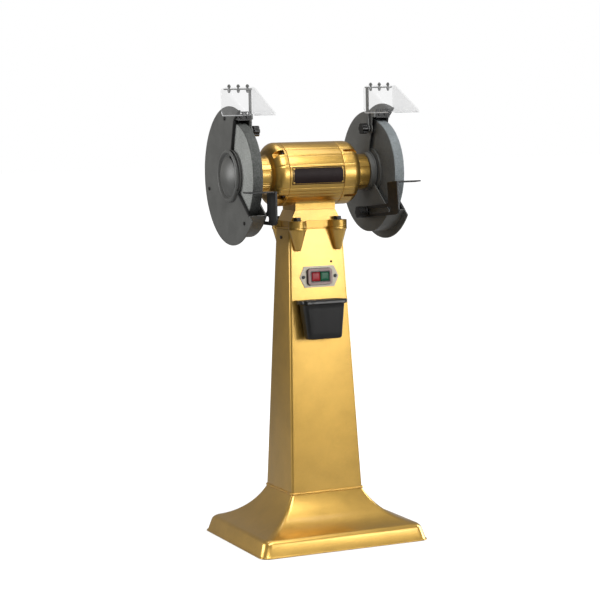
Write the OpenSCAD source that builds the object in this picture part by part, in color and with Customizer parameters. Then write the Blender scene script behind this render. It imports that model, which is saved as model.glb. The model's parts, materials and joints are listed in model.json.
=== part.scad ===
// Pedestal grinder: one motor turns two grinding wheels, on a hollow sheet metal column
// with a flared base. Millimetres. X runs along the spindle, +Z is up and the operator
// stands at -Y. The origin is on the floor, under the middle of the base.

/* [Stand] */
// Width of the base along the spindle
base_w = 429; // [424:1:436]
// Depth of the base from front to back
base_d = 367; // [362:1:374]
// Height of the weld between base and column
base_h = 121; // [119:1:123]
// Radius of the hollow flare in the base
flare_r = 157; // [153:1:160]
// Radius of the shoulder above the base's skirt
shoulder_r = 16; // [13:1:17]
// Corner radius of the base's footprint
base_corner_r = 20; // [14:1:24]
// Sheet thickness of the base
base_wall = 4; // [3:0.5:5]
// Width of the column at the weld
column_w0 = 183.5; // [181:0.5:186]
// Depth of the column at the weld
column_d0 = 154.5; // [152:0.5:157]
// Width of the column at its top
column_w1 = 138.6; // [136:0.2:141]
// Depth of the column at its top
column_d1 = 80.4; // [79:0.2:82]
// Height of the column's top edge
column_top = 742; // [738:1:745]
// Sheet thickness of the column
column_wall = 3; // [2:0.5:4]

/* [Column head and motor base] */
// Distance of each bolt boss from the middle, along the spindle
boss_x = 52; // [50:1:54]
// Distance of each bolt boss from the middle, front to back
boss_y = 49; // [48:1:51]
// Radius of the round lugs of the motor base
lug_r = 21.5; // [20:0.5:22.5]
// Radius of each conical boss at its lower tip
boss_tip_r = 8; // [6:1:9]
// Height of the lower tip of the conical bosses
boss_tip_z = 692; // [686:1:700]
// Thickness of the column's head plate
head_plate_t = 5; // [4:1:6]
// Thickness of the motor base's flange
flange_t = 16; // [14:1:18]
// Height of the joint between motor base and motor
motor_joint_z = 787; // [785:1:789]

/* [Motor] */
// Height of the spindle above the floor
spindle_h = 872; // [868:1:876]
// Outer radius of the motor
motor_r = 75; // [74:0.5:76]
// Left seam of the motor shell
seam_l = -78; // [-80:1:-76]
// Right seam of the motor shell
seam_r = 62; // [60:1:64]
// Distance of each end cap's shoulder from the middle
cap_end = 110; // [108:1:112]
// Radius of the rounded edge of the end caps
cap_round = 22; // [18:1:24]
// Radius of the bearing hubs
hub_r = 43; // [42:0.5:45]
// Distance of each hub's end from the middle
hub_end = 145; // [144:1:146]

/* [Spindle and wheels] */
// Radius of each grinding wheel
wheel_r = 125; // [120:1:126]
// Thickness of each grinding wheel
wheel_t = 25; // [20:1:25]
// Radius of the bore of each grinding wheel
wheel_bore_r = 16; // [15.98:0.01:16.1]
// Radius of the spindle where a wheel sits
seat_r = 15.95; // [15.9:0.01:15.96]
// Distance of each wheel's inner side from the middle
wheel_x = 168; // [167.5:0.5:168.5]
// Radius of the clamping flanges
clamp_flange_r = 55; // [45:1:56]

/* [Guards] */
// Radius of the guard's band
band_r = 144; // [143:1:146]
// Radius of the guard's outer cover
cover_r = 162; // [158:1:165]
// Distance of the guard's inner plate from the middle
guard_x = 156; // [155.5:0.5:156]
// Distance of the guard's cover from the middle
cover_x = 197; // [196.5:0.5:198]
// Sheet thickness of the guard
guard_t = 3; // [2.5:0.5:3]
// Radius of the raised dome over the spindle nut
dome_r = 62; // [60:1:64]
// Height of the dome above the cover
dome_h = 17; // [16:1:20]

/* [Eye shields] */
// Width of each clear hood, across the wheel
hood_w = 80; // [78:1:82]
// Height of the hood's lower edge
hood_z = 1011; // [1008:1:1016]
// Height of the hood's side walls
hood_h = 66; // [60:1:70]
// Reach of the hood in front of the spindle
hood_reach = 146; // [130:1:150]
// Thickness of the clear sheet
hood_t = 3; // [2:0.5:4]
// Height of the pivot of each shield
pivot_z = 975; // [973:1:977]
// Distance of the pivot in front of the spindle
pivot_y = 16; // [14:1:17]

/* [Tool rests] */
// Depth of the rest plate, front to back
rest_d = 36; // [30:1:40]
// Thickness of the rest's arm
rest_t = 4.7; // [4:0.1:4.7]
// Thickness of the rest's top plate
rest_plate_t = 3; // [2.5:0.5:4]
// Gap between the left rest and the centre of its wheel
rest_back = 124; // [124:0.5:128]
// Distance of the clamp bolt below the spindle
clamp_drop = 97; // [95:1:98]

/* [Switch and cup] */
// Height of the switch plate's middle
switch_z = 630; // [620:1:640]
// Length of the switch plate between its points
switch_l = 101; // [98:1:104]
// Height of the switch plate
switch_h = 50; // [48:1:52]
// Height of the cup's rim
cup_z = 577; // [570:1:585]
// Width of the cup below its lip
cup_w = 105; // [100:1:108]
// Height of the cup
cup_h = 93; // [85:1:96]
// Depth of the cup below its lip
cup_d = 45; // [42:1:48]

/* [Hidden] */
$fn = 48;

gold = "#c79a3e";
dark = "#3c3f42";
black = "#1d1d1f";
steel = "#b8bcc0";
grit = "#7f8a86";
cut = 1; // how far a cutting tool runs past the face that it cuts

// Stand
flare_lo = 14; // slope of the flare where it meets the shoulder, in degrees
flare_hi = 63; // slope of the flare at the weld
flare_c = [column_w0 / 2 + flare_r * sin(flare_hi), base_h + flare_r * cos(flare_hi)];
skirt_slope = 70; // slope where the shoulder ends and the skirt begins
column_slope = atan((column_d0 - column_d1) / 2 / (column_top - base_h));
gland_z = 205;
door = [90, 130]; // opening behind the rear cover
door_z = 400;
side_screw = [6, 723]; // y and z of the screw in each side of the column
spare_hole = [35, 664]; // x and z of the small hole above the switch
through = 20; // length of a cutter that goes right through a sheet
spare_hole_r = 2.5;
tab_t = 4; // thickness of the tabs that the column's side screws go into
tab_l = 36;
plate_t = 1.5; // thickness of the plates that are screwed to the column
gland_r = 8;
gland_bore_r = 4.5;
gland_nut_r = 12;
pan_r = 4; // head radius of the panel screws
pan_h = 2.4;
pan_l = 12;
screw_r = 2;
screw_hole_r = 2.05;
weld_spread = 5; // how far the weld reaches over the base
weld_rise = 5;

// Switch and cup
switch_at = 2; // x of the switch and its plate
switch_cut = [54, 32]; // opening for the switch in the column
plate_screw_x = 41;
plate_point = 12; // length of the points at the ends of the switch plate
plate_window = [52, 30];
bezel = [62, 38];
bezel_h = 9;
bezel_round = 7;
bezel_window = [46, 22];
housing_l = 46;
housing = [50, 28];
button_x = 11.6; // distance of each button from the middle of the switch
button = [22.4, 21.6];
button_stem_r = 4.1;
cup_at = -7; // x of the cup and its bracket
cup_back = 6; // gap between the column and the cup's rim
cup_taper = [9, 5, 9]; // how far the sides, the front and the back of the cup lean in
cup_wall = 2.5;
lip_h = 10;
lip_w = 5.5;
tongue = [60, 38, 1.9]; // flat tongue behind the cup, which hooks into the bracket
tongue_z = 1.8;
bracket = [80, 34];
bracket_screw = [35, -26]; // x and height of the bracket's screws from the middle of the cup's rim

// Head, motor base and motor
head_z = column_top + head_plate_t;
flange_z = head_z + flange_t;
bolt_r = 5;
motor_pad = [102, 76];
motor_screw = [36, 22];
lead_hole_r = [14, 12, 10]; // holes for the lead in the head plate, the motor base and the motor's foot
lead_r = 4;
shell_wall = 3;
tie_r = 67; // radius at which the tie bolts run
tie_angles = [45, 135, 225, 315];
tie_bolt_r = 3;
pocket_w = [13, 7]; // widths of the tie bolts' pockets in the left and right end cap
pocket_r = 61; // how near to the spindle the pockets come
cap_flange_t = 6;
guard_bolt_r = 30; // radius at which the guards' bolts sit
cavity_r = 58; // inner radius of the end caps
bearing_x = 119; // inner side of each bearing
bearing_t = 17;
bearing_in_r = 17.5;
bearing_out_r = 36;
core = [-43, 27]; // ends of the stator core
core_bore_r = 39.5;
slot_step = 15; // angle from one slot of the stator to the next
winding = [56, 42, 22]; // outer and inner radius and length of the ends of the windings
rotor_r = 38.5;
shaft_r = 20;
plate_x = [-73, 60]; // ends of the rating plate
plate_angle = [-17.9, 13.9]; // its lower and upper edge as angles above the horizontal
rivet_x = [-69, 56];
rivet_angle = [-14.5, 10.5];
rivet_r = 1.6;

// Wheels and guards
blotter_t = 1;
inner_flange_x = 161;
outer_flange_x = wheel_x + wheel_t + blotter_t;
outer_flange_t = 6;
flange_rise_r = 30; // radius at which the clamping flanges reach their full thickness
thread_r = 12;
thread_x = 199;
shaft_end = 212.5;
lug_at_r = 135.5; // radius at which the cover screws sit
lug_r_cover = 7;
lug_angles = [-52, -166, 100];
opening = [[8, 49], [36, 152], [60, 190], [260, 190], [260, -161], [204.4, -161.4], [31, -26]];
cover_opening = [[8, 49], [31, 128], [60, 148], [76, 190], [260, 190], [260, -161],
                 [204.4, -161.4], [31, -26]];

lip_edges = [[[8, 49], [31, 128], [18, 81]], [[204.4, -161.4], [31, -26], [122, 193]]]; // ends and stretch
dome_edge = 5; // how far above the cover the dome stops over the mouth
mouth_lip = [2.8, 2]; // depth and thickness of the lips of the cover's mouth
deflector_u = 42; // how far the spark deflector's back face is in front of the spindle
deflector_v = 137; // height of its screws above the spindle
deflector_t = 2.5;
deflector_screw_x = [170, 186];
deflector_slot = [-2, 7]; // ends of its slots below and above the screws
guard_screw_r = 2.5;
guard_screw_head = [4.4, 2.4];

// Shields and rests
post_x = 150;
post_w = 11; // the upright; it widens to a boss at its pivot and to the bar at its top
post_boss_r = 10;
bar_w = 20;
hood_x = wheel_x + wheel_t / 2 + 2.5 - hood_w / 2;
hood_back = 12;
hood_strip = 24; // depth of the flat strip on top of the hood
hood_screw_x = [159, 182, 205];
hood_screw_y = pivot_y + 4;
hood_screw_r = 2.5;
hood_screw_head = [4, 4]; // radius and height of the head and of the nut below
acorn_r = 3;
bar_t = 3;
bar_z = hood_z + hood_h - hood_t - bar_t;
bar_l = 63;
knob_h = 14;
knob_groove = [2.5, 4.5]; // how far outside the rim the finger grooves are centred, and their radius
hood_knob_r = 13;
clamp_knob_r = 14;
clamp_knob_x = 128;
pivot_bolt_r = 4;
clamp_bolt_r = 6;
arm_x = 151;
arm_half = 14;
slot_half = 6.1;
slot_ends = [-24, 116];
web = [113, 163];
web_round = 14;
web_fillet = 10;
rest_plate_x = 219;
rest_plate_drop = 33; // how far the top of the rest is below the spindle
rest_corner = 6;
rest_pose = [[0, 0], [8, 5]]; // slide and tip of the left and right rest

function turned(p, a) = [p[0] * cos(a) - p[1] * sin(a), p[0] * sin(a) + p[1] * cos(a)];
function arc(c, r, a0, a1, n) =
  [for (i = [0:n]) let (a = a0 + (a1 - a0) * i / n) c + r * [cos(a), sin(a)]];
function mirrored(p) = concat(p, [for (i = [len(p) - 1:-1:0]) [-p[i][0], p[i][1]]]);
side_slope = atan((column_w0 - column_w1) / 2 / (column_top - base_h));
function column_half_y(z) = column_d0 / 2 - (z - base_h) * tan(column_slope);
function column_half_x(z) =
  column_w0 / 2 - (z - base_h) * (column_w0 - column_w1) / 2 / (column_top - base_h);

// Half outline of the base seen from the front, from the floor to the weld.
// inset moves it inwards for the inside of the sheet.
function flare(inset) =
  let (p = flare_c - flare_r * [sin(flare_lo), cos(flare_lo)],
       s = p - shoulder_r * [sin(flare_lo), cos(flare_lo)])
  concat(
    [[base_w / 2 - inset / sin(skirt_slope), inset > 0 ? -cut : 0]],
    arc(s, shoulder_r - inset, 90 - skirt_slope, 90 - flare_lo, 5),
    arc(flare_c, flare_r + inset, -90 - flare_lo - 4, -90 - flare_hi, 9),
    inset > 0 ? [[column_w0 / 2 - inset, base_h + cut]] : []);
// The same outline for the side view: the corners meet on a mitre.
function flare_side(inset) =
  [for (p = flare(inset))
    [column_d0 / 2 + (p[0] - column_w0 / 2) * (base_d - column_d0) / (base_w - column_w0), p[1]]];

module across_y(w) rotate([90, 0, 0]) linear_extrude(height = w, center = true) children();
module across_x(w) rotate([90, 0, 90]) linear_extrude(height = w, center = true) children();
module rounded(w, d, r)
  union() {
    square([w - 2 * r, d], center = true);
    square([w, d - 2 * r], center = true);
    for (x = [-1, 1], y = [-1, 1]) translate([x * (w / 2 - r), y * (d / 2 - r)]) circle(r);
  }
module frustum(x0, y0, z0, x1, y1, z1)
  intersection() {
    across_y(2 * max(y0, y1) + 2) polygon([[-x0, z0], [x0, z0], [x1, z1], [-x1, z1]]);
    across_x(2 * max(x0, x1) + 2) polygon([[-y0, z0], [y0, z0], [y1, z1], [-y1, z1]]);
  }
// Puts a shape on the column's front face: local x is X, y runs up the face, z points out.
module on_front(x, z) translate([x, -column_half_y(z), z]) rotate([90 - column_slope, 0, 0]) children();
module on_rear(x, z) rotate([0, 0, 180]) on_front(x, z) children();
// Solids of revolution and slabs about the spindle, from x0 to x1.
module disc(x0, x1, r) translate([x0, 0, spindle_h]) rotate([0, 90, 0]) cylinder(h = x1 - x0, r = r);
module ring(x0, x1, r_out, r_in)
  difference() {
    disc(x0, x1, r_out);
    disc(x0 - cut, x1 + cut, r_in);
  }
// Turns a profile of [radius, x] points about the spindle.
module turn() translate([0, 0, spindle_h]) rotate([0, 90, 0]) rotate_extrude() children();
// Extrudes an outline along X: its x is the distance in front of the spindle, its y the height above it.
module slab(x0, x1)
  translate([x0, 0, spindle_h]) rotate([90, 0, 90]) linear_extrude(height = x1 - x0)
    mirror([1, 0]) children();
// Turns z into X at a place given as for slab().
module along_x(x, at) translate([x, -at[0], spindle_h + at[1]]) rotate([0, 90, 0]) children();
module pin(x0, x1, at, r, sides = 0)
  along_x(x0, at) cylinder(h = x1 - x0, r = r, $fn = sides > 0 ? sides : $fn);
module rotate_about_spindle(a) translate([0, 0, spindle_h]) rotate([a, 0, 0]) children();
module both_ends() { children(); on_left() children(); }
// A knob with six finger grooves.
module lobed_knob(r)
  difference() {
    cylinder(h = knob_h, r = r);
    for (i = [0:5]) rotate([0, 0, i * 60]) translate([r + knob_groove[0], 0, -cut])
      cylinder(h = knob_h + 2 * cut, r = knob_groove[1]);
  }
function polar(r, a) = r * [cos(a), sin(a)];
module on_left() mirror([1, 0, 0]) children();

// ---- Stand ----
module base_block(inset, outer)
  intersection() {
    across_y(base_d + 2) polygon(mirrored(flare(inset)));
    across_x(base_w + 2) polygon(mirrored(flare_side(inset)));
    translate([0, 0, -2 * cut]) linear_extrude(height = base_h + 4 * cut)
      rounded(base_w - 2 * outer, base_d - 2 * outer, base_corner_r - outer);
  }
module base()
  color(gold) difference() {
    base_block(0, 0);
    base_block(base_wall, base_wall);
  }

module column_void()
  frustum(column_half_x(base_h - cut) - column_wall, column_half_y(base_h - cut) - column_wall, base_h - cut,
          column_half_x(column_top + cut) - column_wall, column_half_y(column_top + cut) - column_wall,
          column_top + cut);
module boss_places() for (x = [-boss_x, boss_x], y = [-boss_y, boss_y]) translate([x, y, 0]) children();
module boss_cones(extra)
  boss_places() {
    translate([0, 0, boss_tip_z + boss_tip_r]) sphere(boss_tip_r + extra);
    translate([0, 0, boss_tip_z + boss_tip_r])
      cylinder(h = head_z - boss_tip_z - boss_tip_r, r1 = boss_tip_r + extra, r2 = lug_r - 1 + extra);
  }
module column()
  color(gold) difference() {
    frustum(column_w0 / 2, column_d0 / 2, base_h, column_w1 / 2, column_d1 / 2, column_top);
    column_void();
    boss_cones(0.2);
    on_front(switch_at, switch_z) cube([switch_cut[0], switch_cut[1], through], center = true);
    on_front(spare_hole[0], spare_hole[1]) cylinder(h = through, r = spare_hole_r, center = true);
    on_rear(0, door_z) cube([door[0], door[1], through], center = true);
    on_rear(0, gland_z) cylinder(h = through, r = gland_r + 0.1, center = true);
    screw_places() translate([0, 0, -pan_l]) cylinder(h = through, r = screw_hole_r);
  }

module weld_bead()
  color(gold) difference() {
    frustum(column_w0 / 2 + weld_spread, column_d0 / 2 + weld_spread, base_h - weld_rise + cut,
            column_w0 / 2 + 2, column_d0 / 2 + 2, base_h + weld_rise);
    frustum(column_w0 / 2, column_d0 / 2, base_h - weld_rise,
            column_w0 / 2, column_d0 / 2, base_h + weld_rise + cut);
    base_block(0, 0);
  }

module column_head()
  color(gold) difference() {
    union() {
      boss_cones(0);
      translate([0, 0, column_top]) linear_extrude(height = head_plate_t)
        square([column_w1, column_d1], center = true);
      for (x = [-1, 1] * (column_w1 / 2 - column_wall - tab_t / 2 - 0.6))
        translate([x, 0, column_top + cut - tab_l / 2]) cube([tab_t, tab_l, tab_l], center = true);
    }
    boss_places() translate([0, 0, head_z - 44]) cylinder(h = 45, r = bolt_r + 0.1);
    translate([0, 0, column_top - cut]) cylinder(h = head_plate_t + 2 * cut, r = lead_hole_r[0]);
    screw_places() translate([0, 0, -pan_l - cut]) cylinder(h = through, r = screw_hole_r);
  }

module rear_cover()
  color(gold) on_rear(0, door_z) difference() {
    translate([0, 0, plate_t / 2]) cube([door[0] + 22, door[1] + 22, plate_t], center = true);
    for (x = [-1, 1] * (door[0] / 2 + 5), y = [-1, 1] * (door[1] / 2 + 5)) translate([x, y, -cut])
      cylinder(h = plate_t + 2 * cut, r = screw_hole_r);
  }
module cable_gland()
  color(black) on_rear(0, gland_z) difference() {
    union() {
      translate([0, 0, -10]) cylinder(h = 12, r = gland_r);
      cylinder(h = 8, r = gland_nut_r, $fn = 6);
      translate([0, 0, 8]) cylinder(h = 12, r1 = 10, r2 = 7);
      translate([0, 0, -9]) cylinder(h = 5, r = gland_nut_r, $fn = 6);
    }
    translate([0, 0, -10 - cut]) cylinder(h = 30 + 2 * cut, r = gland_bore_r);
  }

// Where the panel screws sit: the switch plate, cup bracket, rear cover and column sides.
module screw_places() {
  for (x = [-1, 1]) on_front(switch_at, switch_z) translate([x * plate_screw_x, 0, plate_t]) children();
  for (x = [-1, 1]) on_front(cup_at, cup_z) translate([x * bracket_screw[0], bracket_screw[1], plate_t])
    children();
  for (x = [-1, 1] * (door[0] / 2 + 5), y = [-1, 1] * (door[1] / 2 + 5)) on_rear(x, door_z)
    translate([0, y, plate_t]) children();
  for (s = [-1, 1]) translate([s * column_half_x(side_screw[1]), side_screw[0], side_screw[1]])
    rotate([0, s * (90 - side_slope), 0]) children();
}
module panel_screws()
  color(black) screw_places() {
    cylinder(h = pan_h, r = pan_r);
    translate([0, 0, -pan_l]) cylinder(h = pan_l, r = screw_r);
  }

// ---- Switch ----
module switch_plate()
  color("#cfcdc8") on_front(switch_at, switch_z) difference() {
    linear_extrude(height = plate_t)
      polygon(concat(mirrored([[switch_l / 2, 0], [switch_l / 2 - plate_point, switch_h / 2]]),
                     [[plate_point - switch_l / 2, -switch_h / 2],
                      [switch_l / 2 - plate_point, -switch_h / 2]]));
    translate([0, 0, -cut]) linear_extrude(height = plate_t + 2 * cut) square(plate_window, center = true);
    for (x = [-1, 1]) translate([x * plate_screw_x, 0, -cut])
      cylinder(h = plate_t + 2 * cut, r = screw_hole_r);
  }
module switch_bezel()
  color("#a59a98") on_front(switch_at, switch_z) difference() {
    union() {
      translate([0, 0, plate_t]) linear_extrude(height = bezel_h - plate_t)
        rounded(bezel[0], bezel[1], bezel_round);
      translate([0, 0, -2]) linear_extrude(height = 4) square(plate_window - [0.4, 0.4], center = true);
    }
    translate([0, 0, -2 - cut]) linear_extrude(height = bezel_h + 4) square(bezel_window, center = true);
  }
module switch_housing()
  color(black) on_front(switch_at, switch_z) difference() {
    translate([0, 0, -housing_l]) linear_extrude(height = housing_l - 2) square(housing, center = true);
    for (x = [-1, 1]) translate([x * button_x, 0, -12]) cylinder(h = through, r = button_stem_r + 0.1);
  }
module push_button(x)
  on_front(switch_at + x, switch_z) {
    translate([0, 0, plate_t]) linear_extrude(height = 6) rounded(button[0], button[1], 2);
    translate([0, 0, -7]) cylinder(h = 9, r = button_stem_r);
  }
module start_button() color("#2c9c63") push_button(button_x);
module stop_button() color("#d8443f") push_button(-button_x);

// ---- Cup ----
// The cup's body, leaning in towards its floor. inset makes it smaller for the inside.
module cup_bucket(inset)
  intersection() {
    brim = inset > 0 ? cut : 0;
    linear_extrude(height = cup_back + cup_d + cut)
      polygon(mirrored([[cup_w / 2 - inset, brim], [cup_w / 2 - cup_taper[0] - inset, inset - cup_h]]));
    rotate([0, -90, 0]) linear_extrude(height = cup_w + 2, center = true)
      polygon([[cup_back + inset, brim], [cup_back + cup_d - inset, brim],
               [cup_back + cup_d - cup_taper[1] - inset, inset - cup_h],
               [cup_back + cup_taper[2] + inset, inset - cup_h]]);
  }
module cup()
  color(black) on_front(cup_at, cup_z) difference() {
    union() {
      cup_bucket(0);
      translate([0, -lip_h / 2, cup_back + cup_d / 2 + 0.5])
        cube([cup_w + 2 * lip_w, lip_h, cup_d + lip_w + 0.5], center = true);
      translate([0, -4 - tongue[1] / 2, tongue_z + tongue[2] / 2]) cube(tongue, center = true);
      translate([0, -lip_h / 2, tongue_z + 2.2]) cube([tongue[0], lip_h, 4.4], center = true);
    }
    cup_bucket(cup_wall);
  }
// A flat pocket, open upwards, that the cup's tongue drops into.
module cup_bracket()
  color(steel) on_front(cup_at, cup_z) difference() {
    union() {
      translate([0, -30, plate_t / 2]) cube([bracket[0], bracket[1], plate_t], center = true);
      translate([0, -46.25, 2.75]) cube([bracket[0], plate_t, 5.5], center = true);
      translate([0, -40, 4.85]) cube([bracket[0], 14, 1.3], center = true);
    }
    for (x = [-1, 1]) translate([x * bracket_screw[0], bracket_screw[1], -cut])
      cylinder(h = plate_t + 2 * cut, r = screw_hole_r);
  }

// ---- Motor base ----
module motor_base()
  color(gold) difference() {
    union() {
      translate([0, 0, head_z]) linear_extrude(height = flange_t)
        square([2 * boss_x + 16, 2 * boss_y - 8], center = true);
      boss_places() translate([0, 0, head_z]) cylinder(h = flange_t, r = lug_r);
      frustum(64, 38.5, flange_z - cut, motor_pad[0] / 2 + 1, motor_pad[1] / 2, motor_joint_z);
    }
    translate([0, 0, head_z - cut]) cylinder(h = motor_joint_z - head_z + 2 * cut, r = lead_hole_r[1]);
    boss_places() translate([0, 0, head_z - cut]) cylinder(h = flange_t + 2 * cut, r = bolt_r + 0.5);
    motor_screw_places() {
      cylinder(h = 60, r = 4.4);
      cylinder(h = 20, r = 7.4);
    }
  }
module motor_screw_places()
  for (x = [-1, 1] * motor_screw[0], y = [-1, 1] * motor_screw[1]) translate([x, y, head_z - cut]) children();
module base_bolts()
  color(black) boss_places() {
    translate([0, 0, flange_z]) cylinder(h = 1.6, r = 10);
    translate([0, 0, flange_z + 1.6]) cylinder(h = 6.4, r = 9.2, $fn = 6);
    translate([0, 0, head_z - 40]) cylinder(h = 60, r = bolt_r);
  }
module motor_screws()
  color(steel) motor_screw_places() {
    translate([0, 0, 12]) cylinder(h = 8, r = 6.5);
    translate([0, 0, 15]) cylinder(h = 36, r = 4);
  }

// ---- Motor ----
module stator_shell()
  color(gold) difference() {
    union() {
      disc(seam_l, seam_r, motor_r);
      translate([-motor_pad[0] / 2, -motor_pad[1] / 2, motor_joint_z])
        cube([motor_pad[0], motor_pad[1], spindle_h - motor_r - motor_joint_z + 14]);
    }
    disc(seam_l - cut, seam_r + cut, motor_r - shell_wall);
    motor_screw_places() translate([0, 0, 30]) cylinder(h = 22, r = 4.05);
    translate([0, 0, motor_joint_z - cut]) cylinder(h = 30, r = lead_hole_r[2]);
    rivet_places() translate([0, 0, -shell_wall - cut]) cylinder(h = 10, r = rivet_r + 0.05);
  }
// One end cap on the right, with its flange at x = seam and pockets w wide over the tie bolts.
module end_cap(seam, w)
  difference() {
    turn() polygon(concat(
      [[0, seam], [motor_r, seam]],
      arc([motor_r - cap_round, cap_end - cap_round], cap_round, 0, 90, 8),
      [[hub_r, cap_end], [hub_r, hub_end - 2], [hub_r - 2, hub_end], [0, hub_end]]));
    turn() polygon([[0, seam + cap_flange_t], [cavity_r, seam + cap_flange_t],
                    [cavity_r, cap_end - 14], [50, cap_end - 6],
                    [bearing_out_r, cap_end - 6], [bearing_out_r, bearing_x + bearing_t],
                    [bearing_in_r + 1, bearing_x + bearing_t], [bearing_in_r + 1, hub_end + cut],
                    [0, hub_end + cut]]);
    disc(seam - cut, seam + cap_flange_t + cut, cavity_r);
    for (a = tie_angles) {
      pin(seam - cut, seam + cap_flange_t + cut, polar(tie_r, a), tie_bolt_r + 0.2);
      rotate_about_spindle(a) translate([seam + cap_flange_t, -w / 2, pocket_r])
        cube([cap_end - seam, w, motor_r]);
    }
    for (a = tie_angles) pin(hub_end - 8, hub_end + cut, polar(guard_bolt_r, a), 3.1);
  }
module right_end_cap() color(gold) end_cap(seam_r, pocket_w[1]);
module left_end_cap() color(gold) on_left() end_cap(-seam_l, pocket_w[0]);
module tie_bolts()
  color(black) for (a = tie_angles) {
    pin(seam_l - cap_flange_t, seam_r + cap_flange_t, polar(tie_r, a), tie_bolt_r);
    pin(seam_l - cap_flange_t - 5, seam_l - cap_flange_t, polar(tie_r, a), 5.4, 6);
  }
module stator_core()
  color("#6d6f73") difference() {
    disc(core[0], core[1], motor_r - shell_wall);
    disc(core[0] - cut, core[1] + cut, core_bore_r);
    for (a = tie_angles) pin(core[0] - cut, core[1] + cut, polar(tie_r, a), 4.5);
    for (a = [slot_step / 2:slot_step:360]) rotate_about_spindle(a) translate([core[0] - cut, -1.5, 36])
      cube([core[1] - core[0] + 2 * cut, 3, 10]);
  }
module stator_windings()
  color("#9c4f24") {
    ring(core[0] - winding[2], core[0], winding[0], winding[1]);
    ring(core[1], core[1] + winding[2], winding[0], winding[1]);
  }
module motor_lead()
  color("#2a2a2c") translate([0, -5.5, switch_z + 16])
    cylinder(h = motor_joint_z - switch_z - 10, r = lead_r);
// Along the radius through each rivet of the rating plate, from the motor's skin outwards.
module rivet_places()
  for (x = rivet_x, a = rivet_angle) translate([x, 0, spindle_h]) rotate([90 - a, 0, 0])
    translate([0, 0, motor_r]) children();
module rating_plate()
  color(black) difference() {
    intersection() {
      ring(plate_x[0], plate_x[1], motor_r + 0.6, motor_r);
      translate([plate_x[0] - cut, -motor_r - 2, spindle_h + motor_r * sin(plate_angle[0])])
        cube([plate_x[1] - plate_x[0] + 2 * cut, 40, motor_r * (sin(plate_angle[1]) - sin(plate_angle[0]))]);
    }
    rivet_places() translate([0, 0, -5]) cylinder(h = 10, r = rivet_r + 0.05);
  }
module plate_rivets()
  color(steel) rivet_places() {
    translate([0, 0, -shell_wall]) cylinder(h = shell_wall + 1, r = rivet_r);
    translate([0, 0, 0.7]) cylinder(h = 0.9, r = 2.6);
  }

// ---- Spindle ----
module shaft()
  color(steel) turn() polygon(concat(
    [[0, -shaft_end], [thread_r - 1.5, -shaft_end], [thread_r, -shaft_end + 1.5]],
    [[thread_r, -thread_x], [seat_r, -thread_x], [seat_r, -inner_flange_x], [bearing_in_r, -inner_flange_x],
     [bearing_in_r, -bearing_x], [shaft_r, -bearing_x], [shaft_r, bearing_x], [bearing_in_r, bearing_x],
     [bearing_in_r, inner_flange_x], [seat_r, inner_flange_x], [seat_r, thread_x], [thread_r, thread_x]],
    [[thread_r, shaft_end - 1.5], [thread_r - 1.5, shaft_end], [0, shaft_end]]));
module rotor()
  color("#7d7f83") {
    ring(core[0], core[1], rotor_r, shaft_r);
    ring(core[0] - 8, core[1] + 8, 36, 24);
    for (i = [0:7]) rotate_about_spindle(i * 45)
      translate([core[0] - 20, -1.5, 26]) cube([core[1] - core[0] + 40, 3, 9]);
  }
module bearing_outer_races()
  color(steel) both_ends() ring(bearing_x, bearing_x + bearing_t, bearing_out_r, 31.05);
module bearing_inner_races()
  color(steel) both_ends() ring(bearing_x, bearing_x + bearing_t, 22, bearing_in_r);
module bearing_balls()
  color(steel) both_ends() for (i = [0:8]) rotate_about_spindle(i * 40)
    translate([bearing_x + bearing_t / 2, 0, 26.5]) sphere(4.5);
module wheel_blotters()
  color("#8a5a33") both_ends() for (x = [wheel_x - blotter_t, wheel_x + wheel_t])
    ring(x, x + blotter_t, clamp_flange_r, wheel_bore_r);

module wheel()
  turn() polygon([[wheel_bore_r, wheel_x], [wheel_r - 1.5, wheel_x], [wheel_r, wheel_x + 1.5],
                  [wheel_r, wheel_x + wheel_t - 1.5], [wheel_r - 1.5, wheel_x + wheel_t],
                  [wheel_bore_r, wheel_x + wheel_t]]);
module inner_flange()
  turn() polygon([[wheel_bore_r, inner_flange_x], [flange_rise_r, inner_flange_x],
                  [clamp_flange_r, inner_flange_x + 2.5],
                  [clamp_flange_r, wheel_x - blotter_t], [wheel_bore_r, wheel_x - blotter_t]]);
module outer_flange()
  turn() polygon([[wheel_bore_r, outer_flange_x], [clamp_flange_r, outer_flange_x],
                  [clamp_flange_r, outer_flange_x + 3],
                  [flange_rise_r, outer_flange_x + outer_flange_t],
                  [wheel_bore_r, outer_flange_x + outer_flange_t]]);
module spindle_nut()
  difference() {
    pin(outer_flange_x + outer_flange_t, shaft_end - 0.5, [0, 0], 20.8, 6);
    pin(outer_flange_x, shaft_end + cut, [0, 0], thread_r);
  }
module right_wheel() color(grit) wheel();
module left_wheel() color(grit) on_left() wheel();
module right_inner_flange() color(black) inner_flange();
module left_inner_flange() color(black) on_left() inner_flange();
module right_outer_flange() color(dark) outer_flange();
module left_outer_flange() color(dark) on_left() outer_flange();
module right_spindle_nut() color(steel) spindle_nut();
module left_spindle_nut() color(steel) on_left() spindle_nut();

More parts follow.
